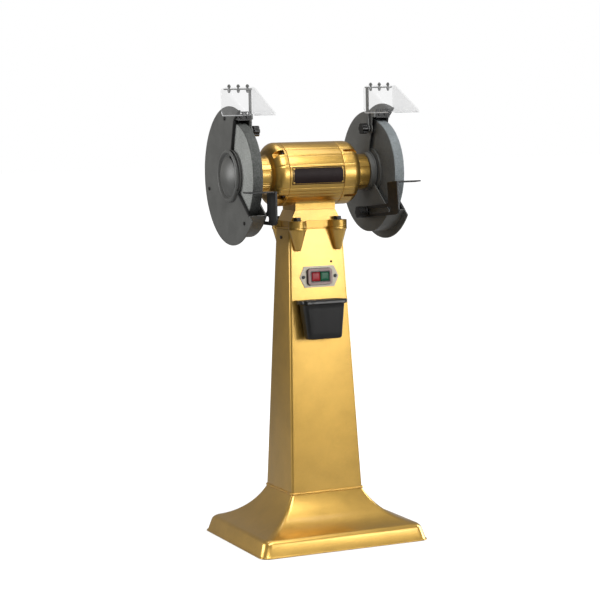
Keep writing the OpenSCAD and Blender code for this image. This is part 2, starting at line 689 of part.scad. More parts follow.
// ---- Guards ----
module guard_body()
  difference() {
    union() {
      slab(guard_x, guard_x + guard_t) union() {
        difference() {
          circle(band_r);
          polygon(opening);
        }
        circle(48);
        translate([pivot_y, pivot_z - spindle_h]) circle(13);
      }
      slab(guard_x + guard_t - 0.5, cover_x) difference() {
        circle(band_r);
        circle(band_r - guard_t);
        polygon(opening);
      }
      slab(guard_x, cover_x) translate([27, 130]) square([deflector_u - 27, 13]);
      disc(hub_end, guard_x + cut, 46);
      for (a = lug_angles) pin(guard_x + cut, cover_x, polar(lug_at_r, a), lug_r_cover);
    }
    disc(hub_end - cut, guard_x + guard_t + cut, 24);
    for (a = lug_angles) pin(cover_x - 16, cover_x + cut, polar(lug_at_r, a), guard_screw_r);
    for (a = tie_angles) {
      pin(hub_end - cut, guard_x, polar(guard_bolt_r, a), 3.2);
      pin(guard_x - 4, guard_x + guard_t + cut, polar(guard_bolt_r, a), 5.7);
    }
    pin(guard_x - cut, guard_x + guard_t + cut, [pivot_y, pivot_z - spindle_h], pivot_bolt_r + 0.05);
    pin(guard_x - cut, guard_x + guard_t + cut, [0, -clamp_drop], clamp_bolt_r + 0.05);
    for (x = deflector_screw_x) translate([x, -deflector_u - cut, spindle_h + deflector_v])
      rotate([-90, 0, 0]) cylinder(h = through, r = guard_screw_r);
  }
// Lips folded inwards along the straight edges of the cover's mouth, just behind the cut.
module mouth_lips()
  slab(cover_x - mouth_lip[0], cover_x + cut) for (e = lip_edges) translate(e[0])
    rotate(atan2(e[1][1] - e[0][1], e[1][0] - e[0][0])) translate([e[2][0], 0.3])
      square([e[2][1] - e[2][0], mouth_lip[1]]);
module guard_cover()
  difference() {
    union() {
      slab(cover_x, cover_x + guard_t) difference() {
        circle(cover_r);
        polygon(cover_opening);
      }
      mouth_lips();
      turn() polygon(concat(
        [[0, cover_x + 1], [dome_r, cover_x + 1]],
        arc([dome_r - 9, cover_x + guard_t + dome_h - 9], 9, 0, 90, 6),
        [[0, cover_x + guard_t + dome_h]]));
    }
    turn() polygon(concat(
      [[0, cover_x - 1], [dome_r - guard_t, cover_x - 1]],
      arc([dome_r - 9, cover_x + guard_t + dome_h - 9], 6, 0, 90, 6),
      [[0, cover_x + dome_h]]));
    slab(cover_x - cut, cover_x + guard_t + dome_edge) translate([0.5, 0]) polygon(cover_opening);
    for (a = lug_angles) pin(cover_x - cut, cover_x + 4, polar(lug_at_r, a), 2.7);
  }
module spark_deflector()
  difference() {
    translate([guard_x + 5, -deflector_u - deflector_t, spindle_h + deflector_v - 9])
      cube([cover_x - guard_x - 6, deflector_t, 21]);
    for (x = deflector_screw_x) translate([x, -deflector_u - deflector_t - cut, spindle_h + deflector_v]) {
      translate([-guard_screw_r - 0.1, 0, deflector_slot[0]])
        cube([2 * guard_screw_r + 0.2, 6, deflector_slot[1] - deflector_slot[0]]);
      for (z = deflector_slot) translate([0, 0, z]) rotate([-90, 0, 0])
        cylinder(h = 6, r = guard_screw_r + 0.1);
    }
  }
module cover_screws()
  color(black) both_ends() {
    for (a = lug_angles) {
      pin(cover_x + guard_t, cover_x + guard_t + guard_screw_head[1], polar(lug_at_r, a),
          guard_screw_head[0]);
      pin(cover_x - 12, cover_x + guard_t + cut, polar(lug_at_r, a), guard_screw_r);
    }
    for (x = deflector_screw_x) translate([x, -deflector_u - deflector_t - 0.3, spindle_h + deflector_v])
      rotate([90, 0, 0]) {
        cylinder(h = guard_screw_head[1], r = guard_screw_head[0]);
        translate([0, 0, -14]) cylinder(h = 14 + cut, r = guard_screw_r);
      }
  }
module guard_bolts()
  color(steel) both_ends() for (a = tie_angles) {
    pin(guard_x - 4, guard_x + 2, polar(guard_bolt_r, a), 5.5);
    pin(hub_end - 8, guard_x - 3, polar(guard_bolt_r, a), 3);
  }
module right_guard_body() color(dark) guard_body();
module left_guard_body() color(dark) on_left() guard_body();
module right_guard_cover() color(dark) guard_cover();
module left_guard_cover() color(dark) on_left() guard_cover();
module right_spark_deflector() color(dark) spark_deflector();
module left_spark_deflector() color(dark) on_left() spark_deflector();

// ---- Eye shields ----
function hood_outline(t) =
  let (top = hood_z + hood_h - spindle_h, low = hood_z - spindle_h)
  [[hood_back - (t > 0 ? cut : 0), low - (t > 0 ? cut : 0)], [hood_back - (t > 0 ? cut : 0), top - t],
   [hood_back + hood_strip - t * 0.3, top - t], [hood_reach - t, low + 11 - t * 0.7],
   [hood_reach - t, low - (t > 0 ? cut : 0)]];
module hood()
  difference() {
    slab(hood_x, hood_x + hood_w) polygon(hood_outline(0));
    slab(hood_x + hood_t, hood_x + hood_w - hood_t) polygon(hood_outline(hood_t));
    for (x = hood_screw_x) translate([x, -hood_screw_y, hood_z + hood_h - hood_t - cut])
      cylinder(h = hood_t + 2 * cut, r = hood_screw_r + 0.1);
  }
module hood_post()
  difference() {
    union() {
      translate([post_x, -pivot_y - post_w / 2, pivot_z])
        cube([bar_t, post_w, bar_z + bar_t - pivot_z]);
      pin(post_x, post_x + bar_t, [pivot_y, pivot_z - spindle_h], post_boss_r);
      translate([post_x, -pivot_y - bar_w / 2, bar_z]) cube([bar_l, bar_w, bar_t]);
    }
    pin(post_x - cut, post_x + bar_t + cut, [pivot_y, pivot_z - spindle_h], pivot_bolt_r + 0.05);
    for (x = hood_screw_x) translate([x, -hood_screw_y, bar_z - cut])
      cylinder(h = bar_t + 2 * cut, r = hood_screw_r + 0.1);
  }
module hood_screws()
  for (x = hood_screw_x) translate([x, -hood_screw_y, 0]) {
    translate([0, 0, hood_z + hood_h]) cylinder(h = hood_screw_head[1], r = hood_screw_head[0]);
    translate([0, 0, hood_z + hood_h + hood_screw_head[1]]) sphere(acorn_r);
    translate([0, 0, bar_z - 7]) cylinder(h = 16, r = hood_screw_r);
    translate([0, 0, bar_z - hood_screw_head[1]])
      cylinder(h = hood_screw_head[1], r = hood_screw_head[0], $fn = 6);
  }
module hood_knob() {
  at = [pivot_y, pivot_z - spindle_h];
  along_x(post_x - 3 - knob_h, at) lobed_knob(hood_knob_r);
  pin(post_x - 4, post_x, at, 9);
  pin(post_x - 2, guard_x + guard_t + 4, at, pivot_bolt_r);
  difference() {
    pin(post_x + bar_t, guard_x - 0.2, at, 9);
    pin(post_x + 2, guard_x + cut, at, pivot_bolt_r - 0.1);
  }
  pin(guard_x + guard_t + 0.3, guard_x + guard_t + 3.5, at, 7.5, 6);
}
module right_hood() color("#dfe8ea", 0.4) hood();
module left_hood() color("#dfe8ea", 0.4) on_left() hood();
module right_hood_post() color(dark) hood_post();
module left_hood_post() color(dark) on_left() hood_post();
module right_hood_screws() color(dark) hood_screws();
module left_hood_screws() color(dark) on_left() hood_screws();
module right_hood_knob() color(black) hood_knob();
module left_hood_knob() color(black) on_left() hood_knob();

// ---- Tool rests ----
// Places a shape that is drawn about the clamp bolt: its x runs out to the operator.
module at_clamp(pose, slide = true)
  translate([0, 0, spindle_h - clamp_drop]) rotate([-pose[1], 0, 0])
    translate([0, slide ? -pose[0] : 0, 0]) children();
module arm_outline()
  difference() {
    union() {
      translate([slot_ends[0] - 8, -arm_half]) square([web[0] - slot_ends[0] + web_round, 2 * arm_half]);
      translate([web[0], web_round - arm_half])
        square([web[1] - web[0], clamp_drop - rest_plate_drop + arm_half - web_round]);
      translate([web[0], -arm_half]) square([web[1] - web[0] - web_round, 20]);
      translate([web[1] - web_round, web_round - arm_half]) circle(web_round);
      translate([web[0] - web_fillet, arm_half - cut]) square([web_fillet + 2, web_fillet + cut]);
    }
    translate([web[0] - web_fillet, arm_half + web_fillet]) circle(web_fillet);
    translate([slot_ends[0], -slot_half]) square([slot_ends[1] - slot_ends[0], 2 * slot_half]);
    for (u = slot_ends) translate([u, 0]) circle(slot_half);
  }
module tool_rest(pose)
  at_clamp(pose) {
    translate([arm_x, 0, 0]) rotate([90, 0, 90]) linear_extrude(height = rest_t) mirror([1, 0]) arm_outline();
    translate([arm_x, -rest_back, clamp_drop - rest_plate_drop - rest_plate_t])
      linear_extrude(height = rest_plate_t) mirror([0, 1]) union() {
        square([rest_plate_x - arm_x, rest_d - rest_corner]);
        square([rest_plate_x - arm_x - rest_corner, rest_d]);
        translate([rest_plate_x - arm_x - rest_corner, rest_d - rest_corner]) circle(rest_corner);
      }
  }
module rest_clamp(pose)
  at_clamp(pose, false) rotate([0, 90, 0]) {
    translate([0, 0, clamp_knob_x]) lobed_knob(clamp_knob_r);
    translate([0, 0, clamp_knob_x + knob_h - cut]) cylinder(h = arm_x - 3 - clamp_knob_x - knob_h, r = 9);
    translate([0, 0, arm_x - 4]) cylinder(h = 3.7, r = 13.5);
    translate([0, 0, arm_x - 15]) cylinder(h = 28, r = clamp_bolt_r);
    translate([0, 0, guard_x + guard_t + 0.3]) cylinder(h = 4.7, r = 10, $fn = 6);
  }
module right_tool_rest() color(black) tool_rest(rest_pose[1]);
module left_tool_rest() color(black) on_left() tool_rest(rest_pose[0]);
module right_rest_clamp() color(black) rest_clamp(rest_pose[1]);
module left_rest_clamp() color(black) on_left() rest_clamp(rest_pose[0]);

base();
column();
weld_bead();
column_head();
rear_cover();
cable_gland();
panel_screws();
switch_plate();
switch_bezel();
switch_housing();
start_button();
stop_button();
cup();
cup_bracket();
motor_base();
base_bolts();
motor_screws();
stator_shell();
left_end_cap();
right_end_cap();
tie_bolts();
stator_core();
stator_windings();
motor_lead();
rating_plate();
plate_rivets();
shaft();
rotor();
bearing_outer_races();
bearing_inner_races();
bearing_balls();
wheel_blotters();
left_wheel();
left_inner_flange();
left_outer_flange();
left_spindle_nut();
left_guard_body();
left_guard_cover();
left_spark_deflector();
left_hood();
left_hood_post();
left_hood_screws();
left_hood_knob();
left_rest_clamp();
left_tool_rest();
right_wheel();
right_inner_flange();
right_outer_flange();
right_spindle_nut();
right_guard_body();
right_guard_cover();
right_spark_deflector();
right_hood();
right_hood_post();
right_hood_screws();
right_hood_knob();
right_rest_clamp();
right_tool_rest();
guard_bolts();
cover_screws();
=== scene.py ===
"""Looks of the pedestal grinder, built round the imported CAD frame. Metres, +Z up, operator at -Y."""
import json
import math

import bmesh
import bpy
from mathutils import Matrix, Vector


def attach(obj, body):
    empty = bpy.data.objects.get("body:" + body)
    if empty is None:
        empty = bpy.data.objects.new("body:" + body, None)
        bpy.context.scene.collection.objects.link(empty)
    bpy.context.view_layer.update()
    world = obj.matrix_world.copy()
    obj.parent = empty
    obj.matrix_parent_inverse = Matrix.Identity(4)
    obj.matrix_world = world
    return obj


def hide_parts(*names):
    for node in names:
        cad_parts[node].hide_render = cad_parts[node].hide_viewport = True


MM = 0.001
SPINDLE_Z = 872.0
WHEEL_R = 125.0
SIDES = {"left": -1, "right": 1}

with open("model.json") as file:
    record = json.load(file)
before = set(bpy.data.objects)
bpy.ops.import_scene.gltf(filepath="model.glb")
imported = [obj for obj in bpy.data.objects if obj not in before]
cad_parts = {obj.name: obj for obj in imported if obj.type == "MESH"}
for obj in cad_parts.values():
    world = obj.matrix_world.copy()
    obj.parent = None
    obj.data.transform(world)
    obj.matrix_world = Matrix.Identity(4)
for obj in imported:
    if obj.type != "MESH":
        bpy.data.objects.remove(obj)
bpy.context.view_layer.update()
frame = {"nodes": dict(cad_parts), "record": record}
nodes = frame["nodes"]


# ---- Materials -------------------------------------------------------------------------
class Shader:
    """A Principled material with a few helpers for procedural nodes in object space."""

    def __init__(self, name, **sockets):
        self.material = bpy.data.materials.new(name)
        self.material.use_nodes = True
        self.tree = self.material.node_tree
        self.bsdf = self.tree.nodes["Principled BSDF"]
        for socket, value in sockets.items():
            self.bsdf.inputs[socket.replace("_", " ")].default_value = value
        self.place = self.tree.nodes.new("ShaderNodeTexCoord").outputs["Object"]

    def node(self, kind, **values):
        made = self.tree.nodes.new(kind)
        for name, value in values.items():
            if hasattr(made, name):
                setattr(made, name, value)
            else:
                made.inputs[name.replace("_", " ")].default_value = value
        return made

    def join(self, output, socket):
        self.tree.links.new(output, socket)

    def noise(self, scale, detail=3.0, roughness=0.55, stretch=None):
        made = self.node("ShaderNodeTexNoise", Scale=scale, Detail=detail, Roughness=roughness)
        place = self.place
        if stretch:
            mapping = self.node("ShaderNodeMapping")
            mapping.inputs["Scale"].default_value = stretch
            self.join(self.place, mapping.inputs["Vector"])
            place = mapping.outputs["Vector"]
        self.join(place, made.inputs["Vector"])
        return made.outputs["Fac"]

    def ramp(self, fac, stops):
        made = self.node("ShaderNodeValToRGB")
        ramp = made.color_ramp
        while len(ramp.elements) < len(stops):
            ramp.elements.new(0.5)
        for element, (at, colour) in zip(ramp.elements, stops):
            element.position = at
            element.color = (*colour, 1.0)
        self.join(fac, made.inputs["Fac"])
        return made.outputs["Color"]

    def mix(self, fac, a, b, blend="MIX"):
        made = self.node("ShaderNodeMix", data_type="RGBA", blend_type=blend)
        for value, socket in ((fac, 0), (a, 6), (b, 7)):
            if isinstance(value, bpy.types.NodeSocket):
                self.join(value, made.inputs[socket])
            elif socket == 0:
                made.inputs[socket].default_value = value
            else:
                made.inputs[socket].default_value = (*value, 1.0)
        return made.outputs[2]

    def colour(self, output):
        self.join(output, self.bsdf.inputs["Base Color"])

    def from_spindle(self, low, high):
        """0 nearer to the spindle's axis than low, 1 further out than high, both in metres."""
        flat = self.node("ShaderNodeVectorMath", operation="MULTIPLY_ADD")
        flat.inputs[1].default_value = (0.0, 1.0, 1.0)
        flat.inputs[2].default_value = (0.0, 0.0, -SPINDLE_Z * MM)
        self.join(self.place, flat.inputs[0])
        length = self.node("ShaderNodeVectorMath", operation="LENGTH")
        self.join(flat.outputs[0], length.inputs[0])
        made = self.node("ShaderNodeMapRange", From_Min=low, From_Max=high)
        self.join(length.outputs["Value"], made.inputs["Value"])
        return made.outputs["Result"]

    def rough(self, fac, low, high):
        made = self.node("ShaderNodeMapRange", To_Min=low, To_Max=high)
        self.join(fac, made.inputs["Value"])
        self.join(made.outputs["Result"], self.bsdf.inputs["Roughness"])

    def bump(self, *layers):
        """Each layer is (height output, strength, distance in metres)."""
        normal = None
        for height, strength, distance in layers:
            made = self.node("ShaderNodeBump", Strength=strength, Distance=distance)
            self.join(height, made.inputs["Height"])
            if normal is not None:
                self.join(normal, made.inputs["Normal"])
            normal = made.outputs["Normal"]
        self.join(normal, self.bsdf.inputs["Normal"])


def scaled(colour, k):
    return tuple(min(1.0, c * k) for c in colour)


def grey(level):
    return (level,) * 3


def gold_paint(name, cast=0.0, streaks=0.0):
    """Metallic gold gloss paint. cast roughens it, as over a sand casting, and streaks run along X."""
    base = (0.61, 0.375, 0.085)
    s = Shader(name, Metallic=0.94, Coat_Weight=0.6, Coat_IOR=1.5, Coat_Roughness=0.15)
    flakes = s.ramp(s.noise(1300, 2.0, 0.8), [(0.42, grey(0)), (0.72, grey(1))])
    tone = s.ramp(s.noise(16, 4.0), [(0.3, scaled(base, 0.86)), (0.55, base), (0.75, scaled(base, 1.1))])
    lines = s.noise(1.0, 4.0, 0.7, (5, 170, 170))
    if streaks:
        tone = s.mix(1.0, tone, s.ramp(lines, [(0.3, grey(1 - streaks)), (0.7, grey(1.0))]), "MULTIPLY")
    s.colour(s.mix(flakes, tone, scaled(base, 1.4)))
    s.rough(s.noise(60, 4.0), 0.28 + 0.02 * cast, 0.38 + 0.04 * cast)
    s.bump((s.noise(420, 3.0), 0.14 + 0.10 * cast, 0.0006), (s.noise(26, 3.0), 0.16 + 0.10 * cast, 0.0016),
           (lines, 0.5 * streaks, 0.0008))
    return s.material


def dark_paint(name, base, rough, metallic):
    """Satin paint or oxide: a slow mottle under fine pale grains."""
    s = Shader(name, Metallic=metallic, Coat_Weight=0.15, Coat_Roughness=0.3)
    mottle = s.ramp(s.noise(22, 4.0), [(0.3, scaled(base, 0.8)), (0.7, scaled(base, 1.2))])
    grain = s.noise(900, 2.0)
    s.colour(s.mix(s.ramp(grain, [(0.5, grey(0)), (0.8, grey(1))]), mottle, scaled(base, 1.7)))
    s.rough(s.noise(90, 3.0), *rough)
    s.bump((grain, 0.16, 0.0003), (s.noise(45, 2.0), 0.08, 0.0008))
    return s.material


def steel(name, base=(0.55, 0.56, 0.57), stretch=(30, 400, 400), rough=(0.24, 0.42)):
    s = Shader(name, Metallic=1.0)
    lines = s.noise(1.0, 4.0, 0.7, stretch)
    s.colour(s.ramp(lines, [(0.25, scaled(base, 0.72)), (0.75, scaled(base, 1.18))]))
    s.rough(s.noise(40, 3.0), *rough)
    s.bump((lines, 0.2, 0.0003))
    return s.material


def grit(name, face, rim, scale):
    """Vitrified abrasive: pale and dark grains in a grey bond, with open pores. The face and the rim take
    separate colours that paint the light and shade each wheel gets.
    """
    s = Shader(name, Specular_IOR_Level=0.25)
    pores = s.node("ShaderNodeTexVoronoi", Scale=scale * 1.6)
    s.join(s.place, pores.inputs["Vector"])
    speck = s.noise(scale, 3.0, 0.75)
    bond_with_painted_light = s.mix(s.from_spindle((WHEEL_R - 2.4) * MM, (WHEEL_R - 1.2) * MM), face, rim)
    grains = s.ramp(speck, [(0.34, grey(0.6)), (0.5, grey(0.95)), (0.66, grey(1.4))])
    worn = s.ramp(s.noise(14, 5.0), [(0.35, grey(0.85)), (0.7, grey(1.1))])
    s.colour(s.mix(1.0, s.mix(1.0, bond_with_painted_light, grains, "MULTIPLY"), worn, "MULTIPLY"))
    s.rough(speck, 0.8, 0.98)
    s.bump((pores.outputs["Distance"], 0.8, 0.0008), (s.noise(180, 4.0), 0.3, 0.0008))
    return s.material


def plastic(name, base, rough=(0.32, 0.46), grain=700, strength=0.12, waves=0.0, **sockets):
    """waves gives a wall the slow waviness along X that a moulding has."""
    s = Shader(name, **sockets)
    s.colour(s.ramp(s.noise(35, 4.0), [(0.3, scaled(base, 0.82)), (0.72, scaled(base, 1.2))]))
    s.rough(s.noise(80, 3.0), *rough)
    layers = [(s.noise(grain, 2.0), strength, 0.0003)]
    if waves:
        layers.append((s.noise(1.0, 1.0, 0.5, (34, 0.5, 0.5)), waves, 0.006))
    s.bump(*layers)
    return s.material


def clear_sheet(name, alpha, tint=1.0):
    """Clear polycarbonate, thin enough not to bend the view, with wiping scratches and a little dust."""
    s = Shader(name, Alpha=alpha, IOR=1.46)
    shades = [(0.3, scaled((0.42, 0.43, 0.44), tint)), (0.75, scaled((0.52, 0.52, 0.53), tint))]
    s.colour(s.ramp(s.noise(9, 4.0), shades))
    s.rough(s.noise(26, 5.0), 0.05, 0.14)
    s.bump((s.noise(1.0, 3.0, 0.6, (30, 260, 60)), 0.05, 0.0003))
    return s.material


def banded(name, base, pitch, metallic):
    """Layers or turns seen edge on, such as laminations or wound wire. pitch is in metres, along X."""
    s = Shader(name, Metallic=metallic)
    wave = s.node("ShaderNodeTexWave", bands_direction="X", Scale=1.0 / pitch / 20, Distortion=0.6)
    s.join(s.place, wave.inputs["Vector"])
    s.colour(s.ramp(wave.outputs["Fac"], [(0.1, scaled(base, 0.45)), (0.7, scaled(base, 1.2))]))
    s.rough(s.noise(60, 3.0), 0.35, 0.55)
    s.bump((wave.outputs["Fac"], 0.6, 0.0008))
    return s.material


SLOT_LOOKS = {
    "gold_paint": gold_paint("gold_paint_sheet"),
    "dark_paint": dark_paint("dark_guard_paint", (0.098, 0.1, 0.096), (0.36, 0.48), 0.1),
    "black_metal": dark_paint("black_oxide", grey(0.014), (0.34, 0.48), 0.3),
    "bright_steel": steel("turned_steel"),
    "plate_metal": steel("switch_plate_metal", (0.33, 0.305, 0.25), (400, 20, 400), (0.34, 0.46)),
    "bezel_plastic": plastic("bezel_rubber", (0.27, 0.185, 0.175), (0.2, 0.32), Specular_IOR_Level=0.3),
    "black_plastic": plastic("black_plastic", grey(0.007), (0.2, 0.3), waves=0.8, Specular_IOR_Level=0.5),
    "red_plastic": plastic("red_button", (0.27, 0.012, 0.018), (0.16, 0.26), Specular_IOR_Level=0.22),
    "green_plastic": plastic("green_button", (0.004, 0.09, 0.042), (0.16, 0.26), Specular_IOR_Level=0.22),
    "core_steel": banded("laminated_core", (0.17, 0.17, 0.18), 0.001, 0.8),
    "copper": banded("wound_copper", (0.52, 0.2, 0.08), 0.0016, 0.75),
    # The left wheel's darker rim is painted shade.
    "grit": grit("coarse_grit_painted_shade_rim", (0.37, 0.385, 0.37), (0.1, 0.105, 0.1), 290),
    "card": plastic("blotter_card", (0.09, 0.09, 0.085), (0.8, 0.95), 300, 0.5),
    "clear": clear_sheet("clear_shield", 0.12),
    "label": plastic("rating_plate_film", (0.014, 0.008, 0.008), (0.34, 0.44), Specular_IOR_Level=0.15),
    "lead": plastic("lead_jacket", grey(0.02), (0.5, 0.7)),
}
GOLD_CAST = gold_paint("gold_paint_cast", 1.0)
GOLD_DRAWN = gold_paint("gold_paint_drawn", 0.3, 0.2)
# The right wheel's dark face is painted shade, and its pale rim is a painted highlight.
FINE_GRIT_PAINTED_LIGHT = grit("fine_grit_painted_light", (0.12, 0.124, 0.122), (0.24, 0.265, 0.275), 700)
# A paler, more opaque copy of the sheet for its edges, as a painted highlight.
CLEAR_EDGE_HIGHLIGHT = clear_sheet("clear_shield_edge_painted_highlight", 0.62, 1.8)


# ---- Mesh helpers ----------------------------------------------------------------------
SHARP_ANGLE = 38.0


def shade(obj, angle=SHARP_ANGLE):
    """Smooth shading with sharp edges above the angle."""
    obj.data.polygons.foreach_set("use_smooth", [True] * len(obj.data.polygons))
    obj.data.set_sharp_from_angle(angle=math.radians(angle))


def piece(name, mesh, body, slot, replaces=(), material=None, bevel=0.0, angle=SHARP_ANGLE):
    """Turns a bmesh in millimetres into a finished piece that rides on a CAD body."""
    bmesh.ops.remove_doubles(mesh, verts=mesh.verts, dist=0.002)
    bmesh.ops.recalc_face_normals(mesh, faces=mesh.faces)
    bmesh.ops.scale(mesh, vec=(MM,) * 3, verts=mesh.verts)
    data = bpy.data.meshes.new(name)
    mesh.to_mesh(data)
    mesh.free()
    obj = bpy.data.objects.new(name, data)
    bpy.context.scene.collection.objects.link(obj)
    data.materials.append(material or SLOT_LOOKS[slot])
    if bevel:
        add_bevel(obj, bevel)
        data.polygons.foreach_set("use_smooth", [True] * len(data.polygons))
    else:
        shade(obj, angle)
    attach(obj, body)
    if replaces:
        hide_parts(*replaces)
    return obj


def add_bevel(obj, width):
    bevel = obj.modifiers.new("edges", "BEVEL")
    bevel.width = width * MM
    bevel.segments = 2
    bevel.limit_method = "ANGLE"
    bevel.angle_limit = math.radians(32)
    bevel.harden_normals = True
    bevel.use_clamp_overlap = True


def loft(mesh, rings, closed=False, caps=True, matrix=None):
    """Skins rings of equal length. closed joins the last ring to the first."""
    rows = [[mesh.verts.new(p) for p in ring] for ring in rings]
    count = len(rows[0])
    pairs = list(zip(rows, rows[1:])) + ([(rows[-1], rows[0])] if closed else [])
    for a, b in pairs:
        for i in range(count):
            j = (i + 1) % count
            mesh.faces.new((a[i], a[j], b[j], b[i]))
    if caps and not closed:
        mesh.faces.new(rows[0])
        mesh.faces.new(rows[-1][::-1])
    if matrix is not None:
        bmesh.ops.transform(mesh, matrix=matrix, verts=[v for row in rows for v in row])


def rounded_ring(half_x, half_y, radius, z, centre=(0.0, 0.0), steps=6):
    radius = min(radius, half_x - 0.01, half_y - 0.01)
    points = []
    for sx, sy, start in ((1, 1, 0), (-1, 1, 90), (-1, -1, 180), (1, -1, 270)):
        for i in range(steps + 1):
            a = math.radians(start + 90 * i / steps)
            points.append((centre[0] + sx * (half_x - radius) + radius * math.cos(a),
                           centre[1] + sy * (half_y - radius) + radius * math.sin(a), z))
    return points


def soften(profile, radius=1.0, steps=3):
    """Rounds the corners of an open profile of points. A third number on a point is its own radius."""
    out = [profile[0][:2]]
    for before, here, after in zip(profile, profile[1:], profile[2:]):
        r = here[2] if len(here) > 2 else radius
        p, a, b = Vector(here[:2]), Vector(before[:2]), Vector(after[:2])
        u, v = (a - p), (b - p)
        cut = min(r, u.length * 0.48, v.length * 0.48)
        if cut < 0.02:
            out.append(tuple(p))
            continue
        start, end = p + u.normalized() * cut, p + v.normalized() * cut
        for i in range(steps + 1):
            t = i / steps
            q = start * (1 - t) ** 2 + p * 2 * t * (1 - t) + end * t ** 2
            out.append(tuple(q))
    out.append(profile[-1][:2])
    return out


def lathe(mesh, profile, segments, side=1, dip=None):
    """Turns (radius, x) points about the spindle's axis. dip(angle, radius) lowers the surface."""
    rings = []
    for radius, x in profile:
        ring = []
        for i in range(segments):
            a = 2 * math.pi * i / segments
            r = max(radius - (dip(math.degrees(a), radius) if dip else 0.0), 0.0)
            ring.append((side * x, r * math.cos(a), SPINDLE_Z + r * math.sin(a)))
        rings.append(ring)
    ends = profile[0][0] < 0.05, profile[-1][0] < 0.05
    closed = not any(ends) and (Vector(profile[0]) - Vector(profile[-1])).length > 0.05
    loft(mesh, rings, closed=closed, caps=False)


def spin_z(mesh, profile, at, segments=40):
    """Turns (radius, z) points about a vertical axis at (x, y)."""
    turns = [(math.cos(2 * math.pi * i / segments), math.sin(2 * math.pi * i / segments))
             for i in range(segments)]
    rings = [[(at[0] + radius * c, at[1] + radius * s, z) for c, s in turns] for radius, z in profile]
    loft(mesh, rings, caps=False)


def block(mesh, low, high, radius=1.0, matrix=None):
    """A box with rounded vertical edges and softened rims."""
    cx, cy = (low[0] + high[0]) / 2, (low[1] + high[1]) / 2
    hx, hy = (high[0] - low[0]) / 2, (high[1] - low[1]) / 2
    soft = min(0.6, radius / 2, (high[2] - low[2]) / 3)
    rings = []
    for z, inset in ((low[2], soft), (low[2] + soft, 0.0), (high[2] - soft, 0.0), (high[2], soft)):
        rings.append(rounded_ring(hx - inset, hy - inset, max(radius - inset, 0.2), z, (cx, cy), 4))
    loft(mesh, rings, matrix=matrix)


def prism(mesh, outline, low, high):
    """Extrudes an outline of (y, z) points along X, between low and high."""
    bottom, top = [[mesh.verts.new((x, y, z)) for y, z in outline] for x in sorted((low, high))]
    mesh.faces.new(bottom)
    mesh.faces.new(top[::-1])
    for i in range(len(outline)):
        j = (i + 1) % len(outline)
        mesh.faces.new((bottom[i], bottom[j], top[j], top[i]))


def arc(centre, radius, start, end, steps):
    """Points along an arc, with its angles in degrees."""
    angles = [math.radians(start + (end - start) * i / steps) for i in range(steps + 1)]
    return [(centre[0] + radius * math.cos(a), centre[1] + radius * math.sin(a)) for a in angles]


# ---- CAD nodes: softened edges and better materials --------------------------------------
def dress(name, material, bevel):
    obj = nodes[name]
    for slot in obj.material_slots:
        slot.link = "OBJECT"
        slot.material = material
    weld = obj.modifiers.new("weld", "WELD")
    weld.merge_threshold = 0.00001
    flat = obj.modifiers.new("flat", "DECIMATE")
    flat.decimate_type = "DISSOLVE"
    flat.angle_limit = math.radians(0.4)
    if bevel:
        add_bevel(obj, bevel)
    if obj.data.has_custom_normals:
        obj.data.attributes.remove(obj.data.attributes["custom_normal"])
    obj.data.polygons.foreach_set("use_smooth", [True] * len(obj.data.polygons))


PLAIN_EDGE = 0.4
EDGE = {"motor_base": 2.0, "base_bolts": 0.5, "rear_cover": 0.5, "switch_bezel": 1.6, "plate_rivets": 0.5,
        "bearing_balls": 0.0, "stator_core": 0.3}
EDGE_BY_WORD = {"knob": 0.9, "guard": 0.6, "tool_rest": 0.8, "clamp": 0.5}
NODE_LOOKS = {"motor_base": GOLD_CAST, "plate_rivets": SLOT_LOOKS["gold_paint"],
              "left_spark_deflector": SLOT_LOOKS["black_metal"],
              "right_spark_deflector": SLOT_LOOKS["black_metal"]}
row_slots = {part["node"]: part["material_slot"] for part in frame["record"]["subparts"]}
for node_name in nodes:
    by_word = next((edge for word, edge in EDGE_BY_WORD.items() if word in node_name), PLAIN_EDGE)
    look = NODE_LOOKS.get(node_name, SLOT_LOOKS[row_slots[node_name]])
    dress(node_name, look, EDGE.get(node_name, by_word))


# ---- Stand -----------------------------------------------------------------------------
BASE_TOP = 121.0
BASE_HALF, NECK_HALF = (214.5, 183.5), (91.75, 77.25)
COLUMN_TOP, COLUMN_TOP_HALF = 742.0, (69.3, 40.2)
COLUMN_CORNER, SHEET_T = 5.5, 3.0
HEAD_TOP = 747.0
BOSSES = [(x, y) for x in (-52, 52) for y in (-49, 49)]
FRONT_HOLE, FRONT_HOLE_R = (35, 664), 3.0  # x and z of the hole in the column's front
FLARE_R, SHOULDER_R, FLARE_LOW, FLARE_HIGH = 157.0, 16.0, 14.0, 63.0  # radii, and angles of the flare's ends


def base_profile():
    """(half width, z, corner radius) up the outside of the base, from its folded lip to the weld."""
    low, high = math.radians(FLARE_LOW), math.radians(FLARE_HIGH)
    centre = Vector((NECK_HALF[0] + FLARE_R * math.sin(high), BASE_TOP + FLARE_R * math.cos(high)))
    shoulder = centre - Vector((math.sin(low), math.cos(low))) * (FLARE_R + SHOULDER_R)
    lip = [(214.6, 0.0, 20), (215.6, 0.5, 21), (215.9, 1.6, 21), (215.5, 2.7, 21), (213.6, 3.3, 20),
           (212.8, 4.2, 20)]
    points = lip + [(x, z, 19) for x, z in arc(shoulder, SHOULDER_R, 20, 90 - FLARE_LOW, 9)]
    steps = 22
    flare = arc(centre, FLARE_R, -90 - FLARE_LOW, -90 - FLARE_HIGH, steps)[1:]
    return points + [(x, z, 19 - 13 * i / steps) for i, (x, z) in enumerate(flare, 1)]


